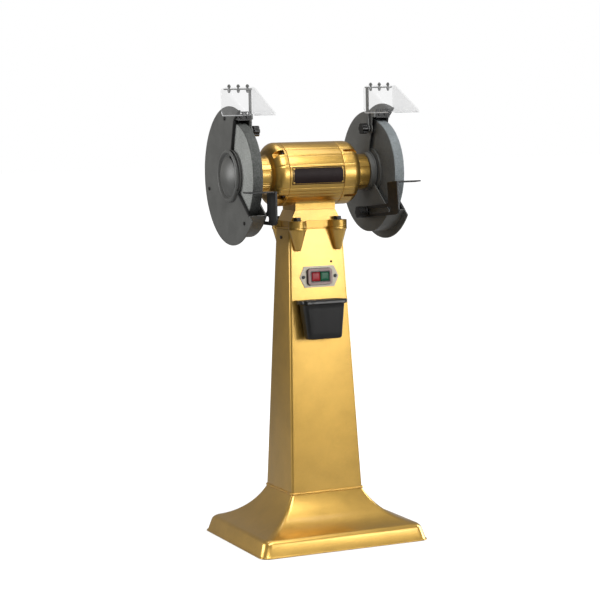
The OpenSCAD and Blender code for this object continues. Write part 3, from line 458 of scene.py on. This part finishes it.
def base_ring(half, z, corner, inset=0.0):
    """One level of the base. half is its half width, and the half depth follows from it."""
    slope = (BASE_HALF[1] - NECK_HALF[1]) / (BASE_HALF[0] - NECK_HALF[0])
    half_y = NECK_HALF[1] + (half - NECK_HALF[0]) * slope
    return rounded_ring(half - inset, half_y - inset, max(corner - inset, 2.0), z, steps=8)


def make_base():
    mesh = bmesh.new()
    outer = base_profile()
    rings = [base_ring(x, z, r) for x, z, r in outer]
    rings += [base_ring(x, z - 2.6, r, 3.2) for x, z, r in outer[:6:-1]]  # the inside of the sheet
    rings += [base_ring(BASE_HALF[0] - 4.5, 0.0, 18)]
    loft(mesh, rings, closed=True)
    piece("base_shell", mesh, "stand", "gold_paint", ["base"], angle=50)


def column_half(z):
    """The column's half width and half depth at a height."""
    t = (z - BASE_TOP) / (COLUMN_TOP - BASE_TOP)
    return [a + (b - a) * t for a, b in zip(NECK_HALF, COLUMN_TOP_HALF)]


def make_column():
    mesh = bmesh.new()
    heights = [BASE_TOP + (COLUMN_TOP - BASE_TOP) * i / 24 for i in range(25)]
    outer = [rounded_ring(*column_half(z), COLUMN_CORNER, z) for z in heights]
    inner = [rounded_ring(*[h - SHEET_T for h in column_half(z)], 3.0, z) for z in reversed(heights)]
    loft(mesh, outer + inner, closed=True)
    column = piece("column_sheet", mesh, "stand", "gold_paint", ["column"])
    column.data.materials.append(SLOT_LOOKS["black_metal"])
    # The sheet's inside faces take the black look: painted shade in the hollow column.
    for face in column.data.polygons:
        x, y, z = face.center / MM
        half = column_half(z)
        if abs(x) < half[0] - SHEET_T / 2 and abs(y) < half[1] - SHEET_T / 2:
            face.material_index = 1
    hole = bmesh.new()
    hole_x, hole_z = FRONT_HOLE
    turned = Matrix.Rotation(math.pi / 2, 4, "X")
    bmesh.ops.create_cone(hole, cap_ends=True, segments=32, depth=14,
                          radius1=FRONT_HOLE_R, radius2=FRONT_HOLE_R,
                          matrix=Matrix.Translation((hole_x, -column_half(hole_z)[1], hole_z)) @ turned)
    cut_out(column, hole)
    # The hole's wall is painted black as well: painted shade inside the hole.
    for face in column.data.polygons:
        x, y, z = face.center / MM
        if y < 0 and math.hypot(x - hole_x, z - hole_z) < FRONT_HOLE_R + 0.2:
            face.material_index = 1


def cut_out(obj, mesh):
    """Cuts a closed bmesh in millimetres out of a piece, and applies the cut."""
    bmesh.ops.recalc_face_normals(mesh, faces=mesh.faces)
    bmesh.ops.scale(mesh, vec=(MM,) * 3, verts=mesh.verts)
    data = bpy.data.meshes.new("cutter")
    mesh.to_mesh(data)
    mesh.free()
    cutter = bpy.data.objects.new("cutter", data)
    bpy.context.scene.collection.objects.link(cutter)
    modifier = obj.modifiers.new("cut", "BOOLEAN")
    modifier.object = cutter
    modifier.solver = "EXACT"
    modifier.operation = "DIFFERENCE"
    bpy.context.view_layer.update()
    evaluated = obj.evaluated_get(bpy.context.evaluated_depsgraph_get())
    result = bpy.data.meshes.new_from_object(evaluated)
    obj.modifiers.remove(modifier)
    obj.data = result
    bpy.data.objects.remove(cutter)
    shade(obj)


def make_weld():
    """A hand-laid bead: a tube round the neck whose thickness and height wander."""
    mesh = bmesh.new()
    up = Vector((0, 0, 1))
    path = rounded_ring(NECK_HALF[0] + 0.4, NECK_HALF[1] + 0.4, COLUMN_CORNER, BASE_TOP + 0.4)
    dense = []
    for a, b in zip(path, path[1:] + path[:1]):
        count = max(1, int((Vector(b) - Vector(a)).length / 1.4))
        dense += [Vector(a).lerp(Vector(b), i / count) for i in range(count)]
    angles = [2 * math.pi * k / 10 for k in range(10)]
    rings = []
    run = 0.0
    for i, here in enumerate(dense):
        out = (dense[(i + 1) % len(dense)] - dense[i - 1]).normalized().cross(up)
        run += (here - dense[i - 1]).length if i else 0.0
        radius = 2.3 + 0.4 * abs(math.sin(run * 0.62))
        radius += 0.35 * math.sin(run * 0.097) + 0.25 * math.sin(run * 0.231 + 1)
        sag = 0.35 * math.sin(run * 0.071 + 2)
        rings.append([here + out * (radius * 1.15 * math.cos(a)) + up * (radius * math.sin(a) + sag)
                      for a in angles])
    loft(mesh, rings, closed=True)
    piece("weld_seam", mesh, "stand", "gold_paint", ["weld_bead"], GOLD_CAST, angle=60)


def make_head():
    """The head plate, which stands a groove's width above the column, and its four conical bosses."""
    mesh = bmesh.new()
    half_x, half_y = COLUMN_TOP_HALF
    groove, inset = 1.0, 1.5
    block(mesh, (inset - half_x, inset - half_y, COLUMN_TOP - 1),
          (half_x - inset, half_y - inset, COLUMN_TOP + 2.5), 3)
    block(mesh, (-half_x, -half_y, COLUMN_TOP + groove), (half_x, half_y, HEAD_TOP), 4)
    boss = soften([(0.0, 692.0), (4.5, 692.2), (7.2, 694.2), (8.6, 698.0), (19.0, 736.5), (20.2, 740.0),
                   (21.4, 741.2), (21.6, 742.2), (21.6, 745.6), (20.9, 746.6), (0.0, 746.9)], 0.8)
    for at in BOSSES:
        spin_z(mesh, boss, at)
    piece("head_casting", mesh, "stand", "gold_paint", ["column_head"], GOLD_CAST)


# ---- Motor -----------------------------------------------------------------------------
MOTOR_R = 75.0
SEAMS = {"left": 78.0, "right": 62.0}  # how far from the middle the shell meets each end cap
POCKET_HALF = {"left": 7.2, "right": 3.8}  # half width of the tie bolts' pockets
GROOVE_HEIGHTS = (52, 36, 17, -26, -33, -40, -57)
GROOVES = [side for height in GROOVE_HEIGHTS for side in (height % 360, 180 - height)]
TIE_ANGLES = (45, 135, 225, 315)


def groove_dip(angle, radius):
    """Shallow lengthwise grooves in the motor's skin."""
    near = min(abs((angle - g + 180) % 360 - 180) for g in GROOVES)
    return 0.9 if near < 0.8 and 30 < radius < 80 else 0.0


def make_shell():
    """The motor's skin with its grooves, and the foot that flares out below it."""
    mesh = bmesh.new()
    left, right = -SEAMS["left"], SEAMS["right"]
    skin = [(72.0, left), (74.0, left), (MOTOR_R, left + 1, 0.8), (MOTOR_R, right - 1, 0.8), (74.0, right),
            (72.0, right), (72.0, left)]
    lathe(mesh, soften(skin, 0.4)[:-1], 240, dip=groove_dip)
    foot_half, fillet = 38.0, 9.0
    centre = (foot_half + fillet, -math.sqrt((MOTOR_R + fillet) ** 2 - (foot_half + fillet) ** 2))
    touch = math.degrees(math.atan2(centre[1], centre[0]))
    curve = arc(centre, fillet, 180, touch + 180, 6)
    under = arc((0, 0), 73.4, touch + 2, -180 - touch - 2, 24)
    joint = [(foot_half - 1.4, -85.0), (foot_half - 1.4, -83.8), (foot_half, -83.2)]
    outline = joint + curve + under + [(-y, z) for y, z in reversed(joint + curve)]
    prism(mesh, [(y, SPINDLE_Z + z) for y, z in outline], -51, 51)
    piece("motor_shell", mesh, "stand", "gold_paint", ["stator_shell"], GOLD_DRAWN, angle=30)


def make_cap(name, side):
    """An end cap: rim, rounded shoulder and hub, hollow inside, with a pocket at each tie bolt."""
    mesh = bmesh.new()
    seam = SEAMS[name]
    rim = [(62.0, seam), (74.2, seam), (MOTOR_R, seam + 0.9, 0.6), (MOTOR_R, 88, 0.0)]
    shoulder = arc((53, 88), 22, 0, 90, 14)[1:]
    hub = [(46.5, 110.0, 3.0), (43.2, 112.5, 2.5), (43.0, 142.6, 1.2), (41.0, 145.0, 1.6), (18.5, 145.0),
           (18.5, 137.0)]
    inside = [(36.0, 136.0), (36.0, 104.0), (50.0, 104.0), (58.0, 96.0), (58.0, seam)]
    lathe(mesh, rim[:1] + soften(rim)[1:] + shoulder + soften([shoulder[-1]] + hub, 0.6)[1:] + inside,
          240, side, groove_dip)
    cap = piece(f"{name}_cap", mesh, "stand", "gold_paint", [f"{name}_end_cap"], GOLD_DRAWN)
    pockets = bmesh.new()
    half = POCKET_HALF[name]
    low, high = sorted((side * (seam + 6), side * 150))
    tip = Matrix.Rotation(math.pi / 2, 4, "Y")
    for a in TIE_ANGLES:
        turn = Matrix.Translation((0, 0, SPINDLE_Z)) @ Matrix.Rotation(math.radians(a - 90), 4, "X")
        block(pockets, (-100, -half, low), (-60.6, half, high), half * 0.45, turn @ tip)
    cut_out(cap, pockets)


def on_skin(x, angle, radius):
    """A point on the front of the motor: angle is its height above the horizontal in degrees."""
    return (x, -radius * math.cos(math.radians(angle)), SPINDLE_Z + radius * math.sin(math.radians(angle)))


def make_rating_plate():
    """A blank dark plate bent to the motor's skin, with a fine gold line inside its edge."""
    ends, angles, skin, plate_t = (-73.0, 60.0), (-17.9, 13.9), MOTOR_R + 0.05, 0.6
    film = bmesh.new()
    section = [(ends[0], skin), (ends[1], skin), (ends[1], skin + plate_t), (ends[0], skin + plate_t)]
    steps = 28
    heights = [angles[0] + (angles[1] - angles[0]) * i / steps for i in range(steps + 1)]
    loft(film, [[on_skin(x, angle, radius) for x, radius in section] for angle in heights])
    piece("rating_film", film, "stand", "label", ["rating_plate"])
    mesh = bmesh.new()
    left, right, low, high = ends[0] + 2.4, ends[1] - 2.4, angles[0] + 1.7, angles[1] - 1.7
    corners = [Vector(corner) for corner in ((left, low), (right, low), (right, high), (left, high))]
    middle = Vector((sum(ends) / 2, sum(angles) / 2))
    line = []
    for start, end in zip(corners, corners[1:] + corners[:1]):
        for k in range(12):
            at = start.lerp(end, k / 12)
            inner = at - Vector((math.copysign(0.7, at.x - middle.x), math.copysign(0.55, at.y - middle.y)))
            line.append([on_skin(p.x, p.y, skin + rise)
                         for p, rise in ((at, 0.55), (at, 0.8), (inner, 0.8), (inner, 0.55))])
    loft(mesh, line, closed=True)
    piece("plate_rim", mesh, "stand", "gold_paint")


# ---- Wheels, guards, shields -------------------------------------------------------------
WHEEL_SIDES = (168, 193)  # inner and outer side of each wheel along X


def make_wheel(name, side):
    mesh = bmesh.new()
    near, far = WHEEL_SIDES
    chamfer = 1.8
    profile = [(16.0, near), (58, near), (WHEEL_R - chamfer, near, 1.0), (WHEEL_R, near + chamfer, 1.0),
               (WHEEL_R, far - chamfer, 1.0), (WHEEL_R - chamfer, far, 1.0), (58, far), (16.0, far)]
    lathe(mesh, soften(profile, 0.3), 160, side)
    look = SLOT_LOOKS["grit"] if name == "left" else FINE_GRIT_PAINTED_LIGHT
    piece(f"{name}_grinding_wheel", mesh, "spindle", "grit", [f"{name}_wheel"], look, angle=30)


def crossing(a, b, radius):
    """Where the line from a to b meets the circle of that radius about the spindle."""
    a, b = Vector(a), Vector(b)
    d = b - a
    half, c = a.dot(d), a.length_squared - radius ** 2
    root = math.sqrt(half ** 2 - d.length_squared * c)
    t = next(t for t in ((-half - root) / d.length_squared, (-half + root) / d.length_squared) if 0 <= t <= 1)
    return tuple(a + d * t)


def bearing_of(p):
    return math.degrees(math.atan2(p[1], p[0]))


COVER_R, DOME_R, COVER_X, COVER_T = 162.0, 62.0, 197.0, 3.0
LIP_X = 194.2  # where the black strips along the mouth begin, inside the cover
# The mouth's outline, as (forward, up) from the spindle
HORN = [(31, 128), (60, 148), (76, 190)]
DOME_SIDE = (8, 49)
LOWER_EDGE = [(31, -26), (204.4, -161.4)]


def side_view(outline):
    """(y, z) points from points given as (forward, up) from the spindle."""
    return [(-u, SPINDLE_Z + v) for u, v in outline]


def make_cover_plate(name, side):
    """A disc with its mouth cut away. It has no hole for the spindle's end, under the dome."""
    top_rim, low_rim = crossing(HORN[1], HORN[2], COVER_R), crossing(*LOWER_EDGE, COVER_R)
    top_dome, low_dome = crossing(HORN[0], DOME_SIDE, DOME_R), crossing(*LOWER_EDGE, DOME_R)
    rim = arc((0, 0), COVER_R, bearing_of(top_rim), bearing_of(low_rim) + 360, 110)
    front = arc((0, 0), DOME_R, bearing_of(low_dome), bearing_of(top_dome), 28)
    mesh = bmesh.new()
    prism(mesh, side_view(rim + front + HORN[:2]), side * COVER_X, side * (COVER_X + COVER_T))
    piece(f"{name}_cover_plate", mesh, "stand", "dark_paint", bevel=0.7)


def make_cover_lip(name, side):
    """Black strips along the straight edges of the mouth: a short lip whose black is painted shade for the gap
    between the cover's edge and the wheel.
    """
    mesh = bmesh.new()
    # Each edge's first and second point, and where its strip starts and ends, measured from the first
    edges = ((DOME_SIDE, HORN[0], 13, 82.1), (HORN[0], HORN[1], 0, 35.2), (HORN[1], HORN[2], 0, 3.5),
             (LOWER_EDGE[1], LOWER_EDGE[0], 118, 197))
    outside, inside = -0.3, 3.4
    for start, end, near, far in edges:
        along = (Vector(end) - Vector(start)).normalized()
        back = Vector((-along.y, along.x))
        strip = [Vector(start) + along * d + back * w
                 for d, w in ((near, outside), (far, outside), (far, inside), (near, inside))]
        prism(mesh, side_view(strip), side * LIP_X, side * (COVER_X + COVER_T + 0.3))
    piece(f"{name}_cover_lip_painted_shade", mesh, "stand", "black_metal", bevel=0.4)


def make_cover_dome(name, side):
    """A spherical cap inside a rolled ring, closed below, and cut away over the mouth."""
    x = COVER_X + COVER_T
    shape = [(DOME_R - 3, COVER_X + 0.2), (DOME_R + 0.5, COVER_X + 0.2), (DOME_R + 0.2, x + 0.8),
             (60.6, x + 6.0, 2.5), (58.2, x + 8.4, 2.5), (54.6, x + 9.0, 2.5), (51.4, x + 4.6, 2.0)]
    cap_r, cap_h = 88.0, 17.5
    shape += [(r, x + cap_h - cap_r + math.sqrt(cap_r ** 2 - r ** 2)) for r in (49.6, 44, 38, 31, 24, 16, 8, 0)]
    under = [(0.0, x + 14.6), (22, x + 11.6), (36, x + 7.0), (49, x + 1.6), (54, x + 5.4),
             (DOME_R - 3, COVER_X + 5), (DOME_R - 3, COVER_X + 0.2)]
    mesh = bmesh.new()
    lathe(mesh, soften(shape, 2.0, 4), 128, side)
    lathe(mesh, under, 128, side)
    dome = piece(f"{name}_cover_dome", mesh, "stand", "dark_paint", [f"{name}_guard_cover"], angle=60)
    trim = bmesh.new()
    mouth = [DOME_SIDE, HORN[0], (150, 128), (150, -70), LOWER_EDGE[0]]
    prism(trim, side_view(mouth), side * (COVER_X - 2), side * (x + 5))
    cut_out(dome, trim)


HOOD_TOP, HOOD_LOW, HOOD_BACK, HOOD_FOLD, HOOD_FRONT = 1077.0, 1011.0, -12.0, -36.0, -146.0
HOOD_HALF, HOOD_X, HOOD_T, HOOD_FRONT_H = 40.0, 183.0, 2.6, 11.0


def hood_section(y, inset):
    """An upside-down U across the hood at a place along Y, from one lower edge to the other."""
    slope = (HOOD_TOP - HOOD_LOW - HOOD_FRONT_H) / (HOOD_FOLD - HOOD_FRONT)
    top = HOOD_TOP - max(0.0, HOOD_FOLD - y) * slope - inset
    corner, back, low = 14.0, HOOD_BACK - y, HOOD_LOW
    if back < corner:
        low += corner - math.sqrt(max(corner ** 2 - (corner - back) ** 2, 0.0))
    half, bend = HOOD_HALF - inset, max(min(9.0, top - low - 0.5) - inset, 0.5)
    band = min(2.2, (top - bend - low) / 2)
    left = [(-half, low)] + [(-half, low + band + (top - bend - low - band) * i / 3) for i in range(3)]
    left += arc((-half + bend, top - bend), bend, 180, 90, 6)
    right = [(-x, z) for x, z in reversed(left)]
    return [(x, y, z) for x, z in left + right]


def make_hood(name, side):
    """The clear shield: rings of open sections down its outside, under its front edge, and back inside.
    Its lowest band and the two long edges take a paler, more opaque copy of the sheet: a painted highlight
    along its edges."""
    mesh = bmesh.new()
    stations = [HOOD_BACK - d for d in (0.3, 1, 2.5, 5, 8, 11, 14)] + [-30, -34, HOOD_FOLD, -38, -42]
    stations += [-42 + (HOOD_FRONT + 42) * i / 8 for i in range(1, 9)]
    outer = [hood_section(y, 0) for y in stations]
    lip = [(x, HOOD_FRONT - 0.6, min(z, HOOD_LOW + 9)) for x, _, z in outer[-1]]
    foot = [(x, HOOD_FRONT - 0.6, HOOD_LOW) for x, _, _ in outer[-1]]
    inner_foot = [(x * 0.97, HOOD_FRONT + 2.2, HOOD_LOW) for x, _, _ in outer[-1]]
    shifts = [0] * (len(stations) - 1) + [2.5]
    inner = [hood_section(y + shift, HOOD_T) for y, shift in zip(stations, shifts)]
    rings = outer + [lip, foot, inner_foot] + inner[::-1]
    rows = [[mesh.verts.new((HOOD_X * side + x, y, z)) for x, y, z in ring] for ring in rings]
    for step, (a, b) in enumerate(zip(rows, rows[1:] + rows[:1])):
        for i in range(len(a) - 1):
            face = mesh.faces.new((a[i], a[i + 1], b[i + 1], b[i]))
            # Index 1, on the lowest bands and the edges, is the painted edge highlight.
            if step < len(outer) - 1 and i in (0, len(a) - 2):
                face.material_index = 1
    last, first_inner = len(rows) - 1, len(outer) + 3
    for i in range(len(outer) + 1):
        facing = 2 * len(outer) + 2 - i
        for end in (0, -1):
            a, b = rows[i][end], rows[i + 1][end]
            c, d = rows[min(facing, last)][end], rows[max(min(facing - 1, last), first_inner - 1)][end]
            if len({a, b, c, d}) == 4:
                mesh.faces.new((a, b, d, c)).material_index = 1
    bmesh.ops.holes_fill(mesh, edges=[e for e in mesh.edges if e.is_boundary], sides=8)
    visor = piece(f"{name}_visor", mesh, f"{name}_shield", "clear", [f"{name}_hood"], angle=45)
    visor.data.materials.append(CLEAR_EDGE_HIGHLIGHT)


# ---- Cup -------------------------------------------------------------------------------
CUP_X, CUP_Z, SWITCH_X, SWITCH_Z = -7.0, 577.0, 2.0, 630.0


def on_front(x, z):
    """The column's front face: local x is X, y runs up the face, z points out."""
    lean = math.atan((NECK_HALF[1] - COLUMN_TOP_HALF[1]) / (COLUMN_TOP - BASE_TOP))
    return Matrix.Translation((x, -column_half(z)[1], z)) @ Matrix.Rotation(math.pi / 2 - lean, 4, "X")


def make_cup():
    """A tapered bucket with a rolled lip. Its rings run up the outside, over the lip and down the inside."""
    mesh = bmesh.new()
    height, back, front, half_w = 93.0, 6.0, 51.0, 52.5

    def ring(y, grow=0.0, corner=9.0):
        t = -y / height
        near, far = back - grow + 0.4 + 9.0 * t, front - 5.0 * t + grow
        centre = (near + far) / 2
        points = rounded_ring(half_w - 9.0 * t + grow, (far - near) / 2, corner, y)
        return [(x, y, centre + z) for x, z, _ in points]

    floor = [ring(-height, -9, 6), ring(-height, -6, 7), ring(-height + 0.8, -2.6, 8),
             ring(-height + 2.8, -0.7, 9)]
    wall = [ring(-height + 6 + (height - 18) * i / 8) for i in range(9)]
    lip = [ring(-11.4, 0.2), ring(-10.6, 1.2), ring(-10, 4.6, 11), ring(-9.2, 5.4, 11), ring(-1.2, 5.2, 11),
           ring(-0.3, 4.6, 11), ring(0, 3.6, 10), ring(0, -1.2, 8), ring(-0.8, -2.2, 8)]
    inside = [ring(-6, -2.5, 7), ring(-height + 9, -2.5, 7), ring(-height + 4, -4, 6),
              ring(-height + 2.6, -9, 5)]
    at = on_front(CUP_X, CUP_Z)
    loft(mesh, floor + wall + lip + inside, matrix=at)
    # The hanging tongue. It is mirrored, so it lies in the column's sheet and not in front of it.
    block(mesh, (-30, 1.8, 4), (30, 3.7, 42), 1.5,
          at @ Matrix.Rotation(math.pi / 2, 4, "X") @ Matrix.Scale(-1, 4, (0, 1, 0)))
    piece("cup_bucket", mesh, "cup", "black_plastic", ["cup"], angle=40)


def make_switch():
    """Two crowned keys on their stems, the dark frame round them, and the gasket under the bezel."""
    for name, x in (("start", 11.6), ("stop", -11.6)):
        mesh = bmesh.new()
        rows = [(2.0, 0.0), (6.6, 0.0), (7.5, 0.35), (8.0, 1.1), (8.35, 3.2), (8.45, 6.5)]
        rings = [rounded_ring(11.2 - inset, 10.8 - inset, max(2.0 - inset, 1.2), z, steps=5)
                 for z, inset in rows]
        loft(mesh, rings, matrix=on_front(SWITCH_X + x, SWITCH_Z))
        stem = [[(r * math.cos(a), r * math.sin(a), z) for a in (math.radians(15 * i) for i in range(24))]
                for r, z in ((3.4, -7.0), (3.8, -6.6), (3.8, 2.2))]
        loft(mesh, stem, matrix=on_front(SWITCH_X + x, SWITCH_Z))
        slot = "green_plastic" if name == "start" else "red_plastic"
        piece(f"{name}_key", mesh, f"{name}_button", slot, [f"{name}_button"], angle=50)
    for name, outer, inner, low, high in (("window_frame", (25.2, 13.2, 2.6), (23.1, 11.1, 0.8), 8.6, 9.5),
                                          ("bezel_gasket", (32.3, 20.3, 8.2), (26.5, 15.5, 2.0), 2.02, 3.1)):
        mesh = bmesh.new()
        rings = [rounded_ring(*outer, low), rounded_ring(*outer, high - 0.3), rounded_ring(*outer, high),
                 rounded_ring(*inner, high), rounded_ring(*inner, low)]
        loft(mesh, rings, closed=True, matrix=on_front(SWITCH_X, SWITCH_Z))
        piece(name, mesh, "stand", "black_plastic", bevel=0.25)


make_base()
make_column()
make_weld()
make_head()
make_shell()
for name in ("right", "left"):
    make_cap(name, SIDES[name])
make_rating_plate()
for name, side in SIDES.items():
    make_wheel(name, side)
    make_cover_plate(name, side)
    make_cover_lip(name, side)
    make_cover_dome(name, side)
    make_hood(name, side)
make_cup()
make_switch()


# ---- Studio and camera -------------------------------------------------------------------
# Each light's place, aim, size in metres, power in watts, and colour where it isn't white
LIGHTS = {
    "front_panel": ((1.45, -3.2, 1.02), (0, 0, 0.9), (1.5, 0.7), 19),
    "front_fill": ((1.7, -4.3, 1.2), (0, 0, 0.6), (4.0, 2.0), 18),
    "overhead": ((-0.2, -1.9, 3.2), (0, 0, 0.8), (2.4, 1.4), 74),
    "above": ((0.3, 0.2, 3.3), (0, 0, 0.5), (2.4, 1.4), 26),
    "left_panel": ((-2.7, 0.9, 1.25), (-0.2, 0, 0.87), (1.7, 1.4), 42),
    "right_edge": ((2.9, 0.1, 1.2), (0, 0, 0.8), (1.2, 2.0), 60, (0.9, 0.95, 1.0)),
}
FADE_FROM, FADE_TO = 0.25, 1.1  # distances from the object between which the floor turns white, in metres


def area_light(name, at, towards, size, power, colour=(1, 1, 1)):
    light = bpy.data.lights.new(name, "AREA")
    light.shape = "RECTANGLE"
    light.size, light.size_y = size
    light.energy = power
    light.color = colour
    obj = bpy.data.objects.new(name, light)
    bpy.context.scene.collection.objects.link(obj)
    obj.location = at
    obj.rotation_mode = "QUATERNION"
    obj.rotation_quaternion = (Vector(towards) - Vector(at)).to_track_quat("-Z", "Y")


def studio_floor():
    """A floor that the camera sees fade to white, but that lights the object only as a dim floor would."""
    look = bpy.data.materials.new("studio_floor")
    look.use_nodes = True
    tree = look.node_tree
    bsdf = tree.nodes["Principled BSDF"]
    bsdf.inputs["Base Color"].default_value = (0.31, 0.31, 0.31, 1)
    bsdf.inputs["Roughness"].default_value = 0.95
    bsdf.inputs["Specular IOR Level"].default_value = 0.1
    place = tree.nodes.new("ShaderNodeTexCoord")
    length = tree.nodes.new("ShaderNodeVectorMath")
    length.operation = "LENGTH"
    fade = tree.nodes.new("ShaderNodeMapRange")
    fade.inputs["From Min"].default_value, fade.inputs["From Max"].default_value = FADE_FROM, FADE_TO
    fade.inputs["To Min"].default_value, fade.inputs["To Max"].default_value = 0.7, 1.0
    rays = tree.nodes.new("ShaderNodeLightPath")
    seen = tree.nodes.new("ShaderNodeMath")
    seen.operation = "MULTIPLY"
    tree.links.new(place.outputs["Object"], length.inputs[0])
    tree.links.new(length.outputs["Value"], fade.inputs["Value"])
    tree.links.new(fade.outputs["Result"], seen.inputs[0])
    tree.links.new(rays.outputs["Is Camera Ray"], seen.inputs[1])
    bsdf.inputs["Emission Color"].default_value = (1, 1, 1, 1)
    tree.links.new(seen.outputs[0], bsdf.inputs["Emission Strength"])
    return look


def studio_world():
    """White for the camera, and a dim grey room for everything else."""
    world = bpy.data.worlds.new("studio")
    world.use_nodes = True
    tree = world.node_tree
    bright = tree.nodes["Background"]
    bright.inputs["Color"].default_value = (1, 1, 1, 1)
    bright.inputs["Strength"].default_value = 1.0
    soft = tree.nodes.new("ShaderNodeBackground")
    soft.inputs["Color"].default_value = (1.0, 0.96, 0.9, 1)
    soft.inputs["Strength"].default_value = 0.26
    rays = tree.nodes.new("ShaderNodeLightPath")
    mix = tree.nodes.new("ShaderNodeMixShader")
    tree.links.new(rays.outputs["Is Camera Ray"], mix.inputs["Fac"])
    tree.links.new(soft.outputs[0], mix.inputs[1])
    tree.links.new(bright.outputs[0], mix.inputs[2])
    tree.links.new(mix.outputs[0], tree.nodes["World Output"].inputs["Surface"])
    return world


def make_studio():
    floor_mesh = bpy.data.meshes.new("floor")
    half = 30.0
    corners = [(-half, -half, 0), (half, -half, 0), (half, half, 0), (-half, half, 0)]
    floor_mesh.from_pydata(corners, [], [(0, 1, 2, 3)])
    floor = bpy.data.objects.new("floor", floor_mesh)
    bpy.context.scene.collection.objects.link(floor)
    floor_mesh.materials.append(studio_floor())
    bpy.context.scene.world = studio_world()
    for name, settings in LIGHTS.items():
        area_light(name, *settings)
    bpy.context.scene.view_settings.view_transform = "Standard"


def make_camera():
    azimuth, elevation, roll = math.radians(-23.94), math.radians(5.70), math.radians(-1.14)
    target, distance = Vector((-0.02754, 0.0, 0.57183)), 4.44443
    back = Vector((math.sin(azimuth) * math.cos(elevation), -math.cos(azimuth) * math.cos(elevation),
                   math.sin(elevation)))
    across = Vector((math.cos(azimuth), math.sin(azimuth), 0.0))
    upward = back.cross(across)
    right = across * math.cos(roll) + upward * math.sin(roll)
    up = upward * math.cos(roll) - across * math.sin(roll)
    data = bpy.data.cameras.new("camera")
    data.sensor_width, data.lens = 36.0, 111.95
    camera = bpy.data.objects.new("camera", data)
    bpy.context.scene.collection.objects.link(camera)
    turn = Matrix((right, up, back)).transposed().to_4x4()
    camera.matrix_world = Matrix.Translation(target + back * distance) @ turn
    bpy.context.scene.camera = camera


make_studio()
make_camera()
